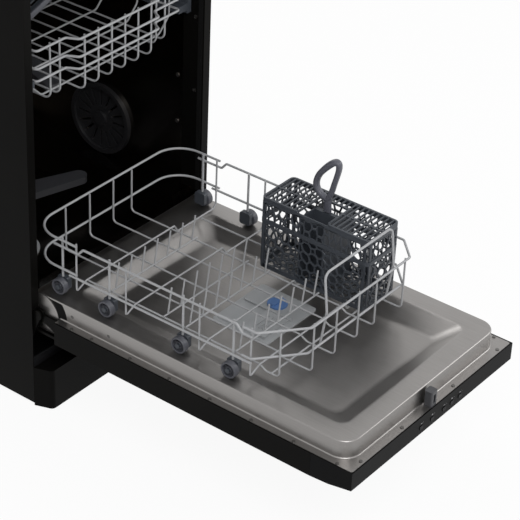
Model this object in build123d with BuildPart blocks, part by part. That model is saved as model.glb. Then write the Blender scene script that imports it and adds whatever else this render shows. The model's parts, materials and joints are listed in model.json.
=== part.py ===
from build123d import *
import os
from math import cos, radians, sin, sqrt

os.makedirs("parts", exist_ok=True)

# The machine stands on Z = 0 and faces -Y. Y = 0 is the front plane of its cabinet.

# Cabinet
cabinet_width = 448.0
cabinet_rear = 556.0
cabinet_height = 850.0
half_width = cabinet_width / 2
worktop_thickness = 30.0
worktop_overhang = 44.0
worktop_round = 5.0
worktop_bottom = cabinet_height - worktop_thickness
side_sheet = 1.0
side_bottom = 5.0
side_inner = half_width - side_sheet
rear_return = 12.0
rear_sheet = 1.0
rear_panel_bottom = 100.0
seat_gap = 0.2

# Tub: its box, the ledges that the wheels roll on, and the bowl between them
tub_side_space = 15.4
tub_rear_space = 24.0
tub_roof_space = 18.5
tub_half = half_width - tub_side_space
tub_wall = 1.0
tub_front = 2.0
tub_rear = cabinet_rear - tub_rear_space
tub_top = worktop_bottom - tub_roof_space
shelf_z = 218.6
shelf_front = 34.0
wheel_ledge = 38.6
bowl_half = tub_half - wheel_ledge
bowl_lip_z = 190.0
bowl_floor_z = 150.0
bowl_slope_end = 95.0
bowl_rear_space = 27.0
bowl_rear_slope = 35.0
bowl_rear = tub_rear - bowl_rear_space
bowl_rear_rise = bowl_rear - bowl_rear_slope
bowl_rear_z = 185.0
tub_corner = 30.0
bowl_floor_under = bowl_floor_z - tub_wall

# Hinge line, parallel to X, and the roll of the door about it, level with the wheel ledges
pivot_y = -6.6
pivot_z = 182.4
roll_radius = shelf_z - pivot_z
rim_gap = 3.0
rim_half = tub_half - rim_gap

# Base
base_side_gap = 1.5
base_rear_gap = 6.0
base_half = half_width - base_side_gap
base_front = 8.0
base_rear = cabinet_rear - base_rear_gap
base_bottom = 20.0
base_floor = 4.0
base_wall = 3.0
base_wall_top = 88.0
base_corner = 12.0
base_deck = base_bottom + base_floor

sides = {"left": -1, "right": 1}


def rod(points, radius, bend=0.0):
    """A round wire along straight runs, with the same inner bend at each corner."""
    with BuildPart(mode=Mode.PRIVATE) as rod_part:
        with BuildLine() as route:
            if bend > 0:
                FilletPolyline(*points, radius=bend)
            else:
                Polyline(*points)
        with BuildSketch(Plane(origin=route.line @ 0, z_dir=route.line % 0)):
            Circle(radius)
        sweep()
    return rod_part.part


def across(x):
    """A plane that looks along +X, with Y across it and Z up it."""
    return Plane(origin=(x, 0, 0), x_dir=(0, 1, 0), z_dir=(1, 0, 0))


def facing(y):
    """A plane that looks along +Y, with -X across it and Z up it."""
    return Plane(origin=(0, y, 0), x_dir=(-1, 0, 0), z_dir=(0, 1, 0))


# Side panels: one sheet each, returned inwards along the rear edge
for side_name, side in sides.items():
    with BuildPart() as side_panel:
        with BuildSketch(Plane.XY.offset(side_bottom)):
            with Locations((side * (half_width - side_sheet / 2), cabinet_rear / 2)):
                Rectangle(side_sheet, cabinet_rear)
            with Locations((side * (half_width - rear_return / 2), cabinet_rear - side_sheet / 2)):
                Rectangle(rear_return, side_sheet)
        extrude(amount=worktop_bottom - side_bottom)
    side_panel.part.label = f"side_panel_{side_name}"
    export_step(side_panel.part, f"parts/side_panel_{side_name}.step")

# Worktop
with BuildPart() as worktop:
    with BuildSketch(Plane.XY.offset(worktop_bottom)):
        with Locations((0, (cabinet_rear - worktop_overhang) / 2)):
            RectangleRounded(cabinet_width, cabinet_rear + worktop_overhang, worktop_round)
    extrude(amount=worktop_thickness)
    fillet(worktop.faces().sort_by(Axis.Z)[-1].edges(), worktop_round - 1)
worktop.part.label = "worktop"
export_step(worktop.part, "parts/worktop.step")

# Rear panel: a sheet with rows of vent slots
vent_width = 60.0
vent_height = 6.0
vent_pitch = 16.0
vent_rows = 6
vent_z = 180.0
rear_panel_y = cabinet_rear - side_sheet - rear_sheet
with BuildPart() as rear_panel:
    with BuildSketch(facing(rear_panel_y)):
        with Locations((0, (rear_panel_bottom + worktop_bottom) / 2)):
            Rectangle(2 * (side_inner - seat_gap), worktop_bottom - rear_panel_bottom)
        with Locations((0, vent_z)):
            with GridLocations(2 * vent_width, vent_pitch, 2, vent_rows):
                SlotOverall(vent_width, vent_height, mode=Mode.SUBTRACT)
    extrude(amount=rear_sheet)
rear_panel.part.label = "rear_panel"
export_step(rear_panel.part, "parts/rear_panel.step")

# Plinth: a folded box, open at the rear, on a lip that reaches back under the cabinet
plinth_depth = 32.0
plinth_setback = 12.0
plinth_half = half_width - plinth_setback
plinth_top = 77.0
plinth_sheet = 1.5
plinth_round = 9.0
plinth_lip = 20.0
plinth_lip_inset = 52.0
plinth_lip_half = plinth_half - plinth_lip_inset
with BuildPart() as plinth:
    with BuildSketch():
        with BuildLine():
            FilletPolyline(
                (-half_width + seat_gap, -seat_gap),
                (-plinth_half, -plinth_depth),
                (plinth_half, -plinth_depth),
                (half_width - seat_gap, -seat_gap),
                radius=plinth_round,
            )
            Line((half_width - seat_gap, -seat_gap), (-half_width + seat_gap, -seat_gap))
        make_face()
    extrude(amount=plinth_top)
    rear_face = plinth.faces().sort_by(Axis.Y)[-1]
    offset(amount=-plinth_sheet, openings=rear_face)
    with BuildSketch():
        Rectangle(2 * plinth_lip_half, 2 * plinth_lip)
    extrude(amount=plinth_sheet)
plinth.part.label = "plinth"
export_step(plinth.part, "parts/plinth.step")

# Levelling feet: pad, nut and stem, turning in bosses of the base tray
foot_side_inset = 34.5
foot_rear_inset = 35.0
foot_x = base_half - foot_side_inset
foot_front_y = 48.0
foot_rear_y = base_rear - foot_rear_inset
foot_pad_radius = 18.0
foot_pad_height = 8.0
foot_nut_radius = 9.0
foot_nut_height = 6.0
foot_stem_radius = 5.0
foot_stem_top = 52.0
foot_bore_clearance = 0.3
foot_boss_radius = 11.0
foot_boss_top = 60.0
foot_spots = {
    "front_left": (-foot_x, foot_front_y),
    "front_right": (foot_x, foot_front_y),
    "rear_left": (-foot_x, foot_rear_y),
    "rear_right": (foot_x, foot_rear_y),
}
for foot_name, foot_spot in foot_spots.items():
    with BuildPart() as foot:
        with BuildSketch():
            with Locations(foot_spot):
                Circle(foot_pad_radius)
        extrude(amount=foot_pad_height)
        fillet(foot.edges().sort_by(Axis.Z)[-1], foot_pad_height / 3)
        with BuildSketch(Plane.XY.offset(foot_pad_height)):
            with Locations(foot_spot):
                RegularPolygon(foot_nut_radius, 6)
        extrude(amount=foot_nut_height)
        with BuildSketch(Plane.XY.offset(foot_pad_height + foot_nut_height)):
            with Locations(foot_spot):
                Circle(foot_stem_radius)
        extrude(amount=foot_stem_top - foot_pad_height - foot_nut_height)
    foot.part.label = f"levelling_foot_{foot_name}"
    export_step(foot.part, f"parts/levelling_foot_{foot_name}.step")

# Rear fittings, named here because the base tray is cut for them
fitting_clearance = 0.5
valve_x = 120.0
valve_z = 44.0
valve_thread_radius = 13.0
gland_x = -130.0
gland_z = 52.0
gland_radius = 9.0
drain_x = 15.0
drain_z = 34.0
drain_hose_radius = 8.0

# Base tray: floor, rim, bosses for the feet and posts that carry the shelves of the tub
post_width = 22.0
post_length = 24.0
post_side_inset = 36.5
post_x = base_half - post_side_inset
post_rows = (130.0, 320.0, tub_rear - 62.0)
post_spots = [(side * post_x, y) for side in sides.values() for y in post_rows]
with BuildPart() as base_tray:
    base_middle = (base_front + base_rear) / 2
    base_length = base_rear - base_front
    with BuildSketch(Plane.XY.offset(base_bottom)):
        with Locations((0, base_middle)):
            RectangleRounded(2 * base_half, base_length, base_corner)
    extrude(amount=base_wall_top - base_bottom)
    with BuildSketch(Plane.XY.offset(base_deck)):
        with Locations((0, base_middle)):
            RectangleRounded(2 * (base_half - base_wall), base_length - 2 * base_wall, base_corner - base_wall)
    extrude(amount=base_wall_top, mode=Mode.SUBTRACT)
    with BuildSketch(Plane.XY.offset(base_bottom)):
        with Locations(*post_spots):
            Rectangle(post_width, post_length)
    extrude(amount=shelf_z - tub_wall - base_bottom)
    with BuildSketch(Plane.XY.offset(base_bottom)):
        with Locations(*foot_spots.values()):
            Circle(foot_boss_radius)
    extrude(amount=foot_boss_top - base_bottom)
    with BuildSketch(Plane.XY.offset(base_bottom)):
        with Locations(*foot_spots.values()):
            Circle(foot_stem_radius + foot_bore_clearance)
    extrude(amount=foot_boss_top - base_bottom, mode=Mode.SUBTRACT)
    with BuildSketch(facing(base_rear - 2 * base_wall)):
        with Locations((-valve_x, valve_z)):
            Circle(valve_thread_radius + fitting_clearance)
        with Locations((-gland_x, gland_z)):
            Circle(gland_radius + fitting_clearance)
        with Locations((-drain_x, drain_z)):
            Circle(drain_hose_radius + fitting_clearance)
    extrude(amount=3 * base_wall, mode=Mode.SUBTRACT)
base_tray.part.label = "base_tray"
export_step(base_tray.part, "parts/base_tray.step")

# Floor fittings of the tub
filter_x = -62.0
filter_y = 200.0
filter_rim_radius = 47.6
filter_clearance = 0.4
arm_y = 262.0
pillar_radius = 14.0
pillar_top = 208.0
salt_x = -115.0
salt_y = 395.0
salt_neck_radius = 20.0
salt_clearance = 0.5

# Wires of both baskets: welded wires stand a hair apart, each a solid of its own
rail_radius = 2.0
wire_radius = 1.6
weld_gap = 0.1
rail_step = 2 * rail_radius + weld_gap
rail_wire_step = rail_radius + wire_radius + weld_gap
wire_step = 2 * wire_radius + weld_gap

# Floor of the upper basket, the feed tube seated under it, and the spout that it meets
upper_side_space = 36.6
upper_half = tub_half - upper_side_space
upper_floor = 540.0
tube_height = 11.0
tube_half = 10.0
tube_top = upper_floor - wire_radius - seat_gap
spout_z = tube_top - tube_height / 2
spout_reach = 58.0
spout_tip_y = tub_rear - spout_reach
spout_gap = 1.0
tube_rear = spout_tip_y - spout_gap - tube_half

# Feed pipe behind the tub, with a spout through its rear wall
spout_radius = 11.0
spout_clearance = 0.4
duct_front = tub_rear + tub_wall + 0.4
duct_depth = 11.6
duct_half = 22.0
duct_low_z = 62.0
duct_high_z = 84.0
duct_top = 548.0
duct_reach_x = 142.0
with BuildPart() as feed_pipe:
    with BuildSketch(Plane.XZ.offset(-duct_front)):
        with Locations((0, (duct_low_z + duct_top) / 2)):
            Rectangle(2 * duct_half, duct_top - duct_low_z)
        with Locations(((duct_reach_x - duct_half) / 2, (duct_low_z + duct_high_z) / 2)):
            Rectangle(duct_reach_x + duct_half, duct_high_z - duct_low_z)
    extrude(amount=-duct_depth)
    fillet(feed_pipe.edges().filter_by(Axis.Y), 4)
    with BuildSketch(Plane.XZ.offset(-duct_front)):
        with Locations((0, spout_z)):
            Circle(spout_radius)
    extrude(amount=duct_front - spout_tip_y)
    with BuildSketch(Plane.XZ.offset(-spout_tip_y)):
        with Locations((0, spout_z)):
            Circle(spout_radius - 3)
    extrude(amount=-(duct_front - spout_tip_y + duct_depth / 2), mode=Mode.SUBTRACT)
feed_pipe.part.label = "feed_pipe"
export_step(feed_pipe.part, "parts/feed_pipe.step")

# Tub: a tall box over two wheel shelves and a sunk bowl, open at the front
strike_slot_half = 20.0
strike_slot_depth = 30.0
with BuildPart() as tub:
    for wall, cut in ((tub_wall, Mode.ADD), (0.0, Mode.SUBTRACT)):
        box_bottom = shelf_z - wall
        with BuildSketch(Plane.XY.offset(box_bottom)):
            with BuildLine():
                FilletPolyline(
                    (-tub_half - wall, tub_front),
                    (-tub_half - wall, tub_rear + wall),
                    (tub_half + wall, tub_rear + wall),
                    (tub_half + wall, tub_front),
                    radius=tub_corner + wall,
                )
                Line((tub_half + wall, tub_front), (-tub_half - wall, tub_front))
            make_face()
        extrude(amount=tub_top + wall - box_bottom, mode=cut)
    # Nothing is left under the front of the box but its two side walls
    with BuildSketch(Plane.XY.offset(shelf_z - 2 * tub_wall)):
        with Locations((0, shelf_front / 2)):
            Rectangle(2 * tub_half, shelf_front)
    extrude(amount=4 * tub_wall, mode=Mode.SUBTRACT)
    with BuildSketch(Plane.XY.offset(bowl_lip_z)):
        for side in sides.values():
            with Locations((side * (tub_half + tub_wall / 2), (tub_front + shelf_front + tub_wall) / 2)):
                Rectangle(tub_wall, shelf_front + tub_wall - tub_front)
        with Locations((0, shelf_front + tub_wall / 2)):
            Rectangle(2 * tub_half + tub_wall, tub_wall)
    extrude(amount=shelf_z - bowl_lip_z)
    bowl_outline = [
        (shelf_front, bowl_lip_z),
        (shelf_front, shelf_z + tub_wall),
        (bowl_rear, shelf_z + tub_wall),
        (bowl_rear, bowl_rear_z),
        (bowl_rear_rise, bowl_floor_z),
        (bowl_slope_end, bowl_floor_z),
    ]
    with BuildSketch(across(0)) as bowl_shape:
        with BuildLine():
            Polyline(*bowl_outline, close=True)
        make_face()
        offset(amount=tub_wall, kind=Kind.INTERSECTION)
        with Locations(((shelf_front + bowl_rear) / 2, shelf_z + 2 * tub_wall)):
            Rectangle(bowl_rear, 4 * tub_wall, mode=Mode.SUBTRACT)
    extrude(amount=bowl_half + tub_wall, both=True)
    with BuildSketch(across(0)):
        with BuildLine():
            Polyline(*bowl_outline, close=True)
        make_face()
        with Locations((shelf_front, (bowl_lip_z + shelf_z) / 2 + tub_wall)):
            Rectangle(4 * tub_wall, shelf_z - bowl_lip_z + 2 * tub_wall)
    extrude(amount=bowl_half, both=True, mode=Mode.SUBTRACT)
    with BuildSketch(Plane.XY.offset(bowl_floor_under - tub_wall)):
        with Locations((filter_x, filter_y)):
            Circle(filter_rim_radius + filter_clearance)
        with Locations((0, arm_y)):
            Circle(pillar_radius + filter_clearance)
        with Locations((salt_x, salt_y)):
            Circle(salt_neck_radius + salt_clearance)
    extrude(amount=4 * tub_wall, mode=Mode.SUBTRACT)
    with BuildSketch(facing(tub_rear - tub_wall)):
        with Locations((0, spout_z)):
            Circle(spout_radius + spout_clearance)
    extrude(amount=3 * tub_wall, mode=Mode.SUBTRACT)
    with BuildSketch(Plane.XY.offset(tub_top - tub_wall)):
        with Locations((0, (tub_front + strike_slot_depth) / 2)):
            Rectangle(2 * strike_slot_half, strike_slot_depth - tub_front)
    extrude(amount=3 * tub_wall, mode=Mode.SUBTRACT)
tub.part.label = "tub"
export_step(tub.part, "parts/tub.step")

# Front frame: painted stiles and top rail, with a collar that lines the mouth of the tub
frame_face = tub_front
collar_wall = 1.2
collar_depth = 45.0
collar_bottom = 224.0
frame_bottom = bowl_lip_z
collar_inner = tub_half - collar_wall
collar_top_inner = tub_top - collar_wall
frame_outer = side_inner - seat_gap
with BuildPart() as front_frame:
    with BuildSketch(Plane.XZ):
        with Locations((0, (frame_bottom + worktop_bottom) / 2)):
            Rectangle(2 * frame_outer, worktop_bottom - frame_bottom)
        with Locations((0, (frame_bottom + collar_top_inner) / 2)):
            Rectangle(2 * collar_inner, collar_top_inner - frame_bottom, mode=Mode.SUBTRACT)
    extrude(amount=-frame_face)
    with BuildSketch(Plane.XZ):
        with Locations((0, (collar_bottom + tub_top) / 2)):
            Rectangle(2 * tub_half, tub_top - collar_bottom)
        with Locations((0, (collar_bottom + collar_top_inner) / 2)):
            Rectangle(2 * collar_inner, collar_top_inner - collar_bottom, mode=Mode.SUBTRACT)
    extrude(amount=-collar_depth)
    with BuildSketch(Plane.XZ):
        with Locations((0, (collar_top_inner + worktop_bottom) / 2)):
            Rectangle(2 * strike_slot_half, 2 * (worktop_bottom - collar_top_inner) - 6)
    extrude(amount=-strike_slot_depth, mode=Mode.SUBTRACT)
front_frame.part.label = "front_frame"
export_step(front_frame.part, "parts/front_frame.step")

# Door seal: a strip round three sides of the collar
seal_thickness = 1.5
seal_front = 3.0
seal_width = 9.0
with BuildPart() as door_seal:
    with BuildSketch(Plane.XZ.offset(-seal_front)):
        with Locations((0, (collar_bottom + collar_top_inner) / 2)):
            Rectangle(2 * collar_inner, collar_top_inner - collar_bottom)
        with Locations((0, (collar_bottom + collar_top_inner - seal_thickness) / 2)):
            Rectangle(
                2 * (collar_inner - seal_thickness),
                collar_top_inner - seal_thickness - collar_bottom,
                mode=Mode.SUBTRACT,
            )
    extrude(amount=-seal_width)
door_seal.part.label = "door_seal"
export_step(door_seal.part, "parts/door_seal.step")

# Door latch: a housing over the tub, open at the front for the strike
latch_half = 24.0
latch_rear = 60.0
latch_wall = 2.0
with BuildPart() as door_latch:
    with BuildSketch(Plane.XZ.offset(-frame_face - seat_gap)):
        with Locations((0, (tub_top + tub_wall + worktop_bottom) / 2)):
            Rectangle(2 * latch_half, worktop_bottom - tub_top - tub_wall - 2 * seat_gap)
    extrude(amount=-latch_rear)
    with BuildSketch(Plane.XZ.offset(-frame_face)):
        with Locations((0, (tub_top + worktop_bottom) / 2 - latch_wall)):
            Rectangle(2 * strike_slot_half, worktop_bottom - tub_top - latch_wall)
    extrude(amount=-strike_slot_depth, mode=Mode.SUBTRACT)
door_latch.part.label = "door_latch"
export_step(door_latch.part, "parts/door_latch.step")

# Screws with low round heads: (Y, Z, wall they sit on)
screw_radius = 3.6
screw_height = 1.2
wall_screws = [
    (19.0, 558.0, collar_inner),
    (19.0, 419.0, collar_inner),
    (57.0, 435.0, tub_half),
    (57.0, 345.0, tub_half),
]
with BuildPart() as tub_screws:
    for side in sides.values():
        for screw_y, screw_z, seat_x in wall_screws:
            with BuildSketch(across(side * seat_x)):
                with Locations((screw_y, screw_z)):
                    Circle(screw_radius)
            extrude(amount=-side * screw_height)
tub_screws.part.label = "tub_screws"
export_step(tub_screws.part, "parts/tub_screws.step")

# Upper basket rails: channels on the tub walls, and the runner that slides in each
rail_front = 48.0
rail_rear = 330.0
rail_depth = 14.6
rail_inner = tub_half - rail_depth
rail_bottom = 563.0
rail_top = 591.0
rail_wall = 1.5
rail_middle_z = (rail_bottom + rail_top) / 2
rail_slot_half = 7.0
runner_clearance = 0.4
runner_front = 28.0
runner_rear = tub_rear - 77.0
runner_inner = upper_half + rail_radius
runner_bar_gap = 8.0
runner_web = rail_inner - runner_bar_gap
runner_bar_half = 6.0
with BuildPart() as upper_rails:
    for side in sides.values():
        with BuildSketch(Plane.XZ.offset(-rail_front)):
            with Locations((side * (rail_inner + tub_half) / 2, rail_middle_z)):
                Rectangle(tub_half - rail_inner, rail_top - rail_bottom)
                Rectangle(
                    tub_half - rail_inner - 2 * rail_wall,
                    rail_top - rail_bottom - 2 * rail_wall,
                    mode=Mode.SUBTRACT,
                )
            with Locations((side * (rail_inner + rail_wall / 2), rail_middle_z)):
                Rectangle(2 * rail_wall, 2 * rail_slot_half, mode=Mode.SUBTRACT)
        extrude(amount=rail_front - rail_rear)
upper_rails.part.label = "upper_rails"
export_step(upper_rails.part, "parts/upper_rails.step")

# The heads pass through the door seal, so they take their width from it
head_inner = rail_inner + rail_wall + runner_clearance
head_outer = collar_inner - seal_thickness - runner_clearance
head_half = (rail_top - rail_bottom) / 2 - rail_wall - runner_clearance
with BuildPart() as basket_runners:
    for side in sides.values():
        with BuildSketch(Plane.XZ.offset(-runner_front)):
            with Locations((side * (head_inner + head_outer) / 2, rail_middle_z)):
                Rectangle(head_outer - head_inner, 2 * head_half)
            with Locations((side * (runner_web + head_inner) / 2, rail_middle_z)):
                Rectangle(head_inner - runner_web, 2 * (rail_slot_half - runner_clearance))
            with Locations((side * (runner_inner + runner_web) / 2, rail_middle_z)):
                Rectangle(runner_web - runner_inner, 2 * runner_bar_half)
        extrude(amount=runner_front - runner_rear)
basket_runners.part.label = "basket_runners"
export_step(basket_runners.part, "parts/basket_runners.step")

# Vent cap on the right wall of the tub: a ring round a slotted disc
vent_y = 231.0
vent_cap_z = 288.0
vent_radius = 68.0
vent_ring_width = 8.0
vent_ring_height = 9.0
vent_disc_height = 4.0
vent_slots = 16
with BuildPart() as vent_cap:
    with BuildSketch(across(tub_half)):
        with Locations((vent_y, vent_cap_z)):
            Circle(vent_radius)
    extrude(amount=-vent_ring_height)
    with BuildSketch(across(tub_half - vent_disc_height)):
        with Locations((vent_y, vent_cap_z)):
            Circle(vent_radius - vent_ring_width)
    extrude(amount=-vent_ring_height, mode=Mode.SUBTRACT)
    with BuildSketch(across(tub_half)):
        with Locations((vent_y, vent_cap_z)):
            with PolarLocations(vent_radius * 0.6, vent_slots):
                SlotOverall(vent_radius * 0.45, 4)
    extrude(amount=-vent_disc_height, mode=Mode.SUBTRACT)
    with BuildSketch(across(tub_half)):
        with Locations((vent_y, vent_cap_z)):
            Circle(vent_radius / 5)
    extrude(amount=-vent_ring_height)
vent_cap.part.label = "vent_cap"
export_step(vent_cap.part, "parts/vent_cap.step")

# Sump: a deck under the bowl with the filter well and the pillar of the lower arm
sump_deck = 19.0
sump_left = -125.0
sump_right = 45.0
sump_front = 140.0
sump_rear = 300.0
well_outer = 54.0
well_inner = 50.0
well_bottom = 62.0
well_floor = 3.0
pillar_bore = 9.0
with BuildPart() as sump:
    with BuildSketch(Plane.XY.offset(bowl_floor_under)):
        with Locations(((sump_left + sump_right) / 2, (sump_front + sump_rear) / 2)):
            RectangleRounded(sump_right - sump_left, sump_rear - sump_front, 12)
    extrude(amount=-sump_deck)
    with BuildSketch(Plane.XY.offset(well_bottom)):
        with Locations((filter_x, filter_y)):
            Circle(well_outer)
    extrude(amount=bowl_floor_under - well_bottom)
    with BuildSketch(Plane.XY.offset(well_bottom + well_floor)):
        with Locations((filter_x, filter_y)):
            Circle(well_inner)
    extrude(amount=bowl_floor_under, mode=Mode.SUBTRACT)
    with BuildSketch(Plane.XY.offset(bowl_floor_under)):
        with Locations((0, arm_y)):
            Circle(pillar_radius)
    extrude(amount=pillar_top - bowl_floor_under)
    with BuildSketch(Plane.XY.offset(bowl_floor_under)):
        with Locations((0, arm_y)):
            Circle(pillar_bore)
    extrude(amount=pillar_top, mode=Mode.SUBTRACT)
sump.part.label = "sump"
export_step(sump.part, "parts/sump.step")

# Filter: a cup with a round rim in the floor of the bowl and a bar to turn it by
filter_body_radius = 40.0
filter_bottom = 70.0
filter_wall = 2.0
filter_rim_top = 153.0
filter_grip_length = 60.0
filter_grip_width = 7.0
filter_grip_top = 174.0
filter_mouth_radius = 26.0
with BuildPart() as filter_cup:
    with BuildSketch(Plane.XY.offset(filter_bottom)):
        with Locations((filter_x, filter_y)):
            Circle(filter_body_radius)
    extrude(amount=bowl_floor_z - filter_bottom)
    with BuildSketch(Plane.XY.offset(bowl_floor_z)):
        with Locations((filter_x, filter_y)):
            Circle(filter_rim_radius)
    extrude(amount=filter_rim_top - bowl_floor_z)
    with BuildSketch(Plane.XY.offset(filter_bottom + filter_wall)):
        with Locations((filter_x, filter_y)):
            Circle(filter_body_radius - filter_wall)
    extrude(amount=bowl_floor_z - filter_bottom - 2 * filter_wall, mode=Mode.SUBTRACT)
    with BuildSketch(Plane.XY.offset(bowl_floor_z - 2 * filter_wall)):
        with Locations((filter_x, filter_y)):
            Circle(filter_mouth_radius)
    extrude(amount=filter_rim_top, mode=Mode.SUBTRACT)
    with BuildSketch(Plane.XY.offset(bowl_floor_z)):
        with Locations((filter_x, filter_y)):
            SlotOverall(filter_grip_length, filter_grip_width)
    extrude(amount=filter_grip_top - bowl_floor_z)
filter_cup.part.label = "filter"
export_step(filter_cup.part, "parts/filter.step")

# Salt cap and the water softener that it closes
salt_flange_radius = 26.0
salt_flange_top = 154.0
salt_grip_radius = 19.0
salt_cap_top = 170.0
salt_neck_bottom = 138.0
softener_reach = 65.0
softener_post_gap = 10.0
softener_front = salt_y - softener_reach
softener_rear = salt_y + softener_reach
softener_left = post_width / 2 + softener_post_gap - post_x
softener_right = salt_x + 45.0
softener_mouth_depth = 14.0
with BuildPart() as salt_cap:
    with BuildSketch(Plane.XY.offset(salt_neck_bottom)):
        with Locations((salt_x, salt_y)):
            Circle(salt_neck_radius)
    extrude(amount=salt_cap_top - salt_neck_bottom - 2)
    with BuildSketch(Plane.XY.offset(bowl_floor_z + seat_gap)):
        with Locations((salt_x, salt_y)):
            Circle(salt_flange_radius)
    extrude(amount=salt_flange_top - bowl_floor_z - seat_gap)
    with BuildSketch(Plane.XY.offset(salt_flange_top)):
        with Locations((salt_x, salt_y)):
            Rectangle(2 * salt_grip_radius, 8)
    extrude(amount=salt_cap_top - salt_flange_top)
salt_cap.part.label = "salt_cap"
export_step(salt_cap.part, "parts/salt_cap.step")

with BuildPart() as water_softener:
    with BuildSketch(Plane.XY.offset(base_deck)):
        with Locations(((softener_left + softener_right) / 2, (softener_front + softener_rear) / 2)):
            RectangleRounded(softener_right - softener_left, softener_rear - softener_front, 10)
    extrude(amount=bowl_floor_under - base_deck)
    with BuildSketch(Plane.XY.offset(bowl_floor_under - softener_mouth_depth)):
        with Locations((salt_x, salt_y)):
            Circle(salt_neck_radius + salt_clearance)
    extrude(amount=bowl_floor_under, mode=Mode.SUBTRACT)
water_softener.part.label = "water_softener"
export_step(water_softener.part, "parts/water_softener.step")

# Circulation pump: volute, motor, inlet from the well and outlet to the feed pipe
pump_x = 85.0
pump_z = 72.0
volute_radius = 46.0
volute_front = 180.0
volute_rear = 220.0
motor_radius = 38.0
motor_rear = 330.0
pump_port_z = 84.0
pump_port_radius = 13.0
outlet_x = 128.0
outlet_z = (duct_low_z + duct_high_z) / 2
outlet_radius = 9.0
with BuildPart() as circulation_pump:
    with BuildSketch(facing(volute_front)):
        with Locations((-pump_x, pump_z)):
            Circle(volute_radius)
    extrude(amount=volute_rear - volute_front)
    fillet(circulation_pump.edges().filter_by(GeomType.CIRCLE), 6)
    with BuildSketch(facing(volute_rear - 8)):
        with Locations((-pump_x, pump_z)):
            Circle(motor_radius)
    extrude(amount=motor_rear - volute_rear + 8)
    with BuildSketch(across(filter_x + well_outer + seat_gap)):
        with Locations((filter_y, pump_port_z)):
            Circle(pump_port_radius)
    extrude(amount=pump_x - filter_x - well_outer - volute_radius / 2)
    with BuildSketch(facing(volute_rear - 10)):
        with Locations((-outlet_x, outlet_z)):
            Circle(outlet_radius)
    extrude(amount=duct_front - seat_gap - volute_rear + 10)
    for cradle_y in (volute_front + 12, motor_rear - 24):
        with BuildSketch(facing(cradle_y)):
            with Locations((-pump_x, (base_deck + pump_z) / 2)):
                Rectangle(motor_radius, pump_z - base_deck)
        extrude(amount=12)
circulation_pump.part.label = "circulation_pump"
export_step(circulation_pump.part, "parts/circulation_pump.step")

# Drain pump and its hose, which ends as the spigot at the rear
drain_pump_radius = 24.0
drain_pump_z = 60.0
drain_pump_front = 80.0
drain_pump_rear = 130.0
drain_port_radius = 13.0
drain_hose_start = (filter_x + 12, 100.0, 44.0)
drain_hose = rod(
    [drain_hose_start, (drain_x - 22, 100.0, 38.0), (drain_x, 130.0, drain_z), (drain_x, cabinet_rear, drain_z)],
    drain_hose_radius,
    bend=12.0,
)
with BuildPart() as drain_pump:
    with BuildSketch(facing(drain_pump_front)):
        with Locations((-filter_x, drain_pump_z)):
            Circle(drain_pump_radius)
    extrude(amount=drain_pump_rear - drain_pump_front)
    with BuildSketch(facing(drain_pump_rear)):
        with Locations((-filter_x, drain_pump_z + 16)):
            Circle(drain_port_radius)
    extrude(amount=filter_y - well_outer - seat_gap - drain_pump_rear)
    with BuildSketch(Plane.XY.offset(base_deck)):
        with Locations((filter_x, (drain_pump_front + drain_pump_rear) / 2)):
            Rectangle(drain_pump_radius, drain_pump_radius)
    extrude(amount=drain_pump_z - base_deck)
    add(drain_hose)
drain_pump.part.label = "drain_pump"
export_step(drain_pump.part, "parts/drain_pump.step")

# Inlet valve with its threaded spigot
valve_body_width = 40.0
valve_body_length = 30.0
valve_thread_length = 30.0
valve_body_rear = cabinet_rear - valve_thread_length
valve_body_front = valve_body_rear - valve_body_length
valve_coil_radius = 12.0
with BuildPart() as inlet_valve:
    with BuildSketch(Plane.XY.offset(base_deck)):
        with Locations((valve_x, (valve_body_front + valve_body_rear) / 2)):
            Rectangle(valve_body_width, valve_body_rear - valve_body_front)
    extrude(amount=2 * (valve_z - base_deck))
    with BuildSketch(facing(valve_body_rear)):
        with Locations((-valve_x, valve_z)):
            Circle(valve_thread_radius)
    extrude(amount=cabinet_rear - valve_body_rear)
    with BuildSketch(facing(cabinet_rear)):
        with Locations((-valve_x, valve_z)):
            Circle(valve_thread_radius - 3)
    extrude(amount=valve_body_rear - cabinet_rear, mode=Mode.SUBTRACT)
    with BuildSketch(facing(valve_body_front)):
        with Locations((-valve_x, valve_z)):
            Circle(valve_coil_radius)
    extrude(amount=-22)
inlet_valve.part.label = "inlet_valve"
export_step(inlet_valve.part, "parts/inlet_valve.step")

# Terminal box with the bare cord gland
box_width = 64.0
box_length = 48.0
box_rear_gap = 3.0
box_rear = base_rear - base_wall - box_rear_gap
box_front = box_rear - box_length
box_top = 86.0
gland_bore = 4.5
with BuildPart() as terminal_box:
    with BuildSketch(Plane.XY.offset(base_deck)):
        with Locations((gland_x, (box_front + box_rear) / 2)):
            RectangleRounded(box_width, box_rear - box_front, 4)
    extrude(amount=box_top - base_deck)
    with BuildSketch(facing(box_rear)):
        with Locations((-gland_x, gland_z)):
            Circle(gland_radius)
    extrude(amount=cabinet_rear - box_rear)
    with BuildSketch(facing(box_rear)):
        with Locations((-gland_x, gland_z)):
            Circle(gland_bore)
    extrude(amount=cabinet_rear - box_rear, mode=Mode.SUBTRACT)
terminal_box.part.label = "terminal_box"
export_step(terminal_box.part, "parts/terminal_box.step")

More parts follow.
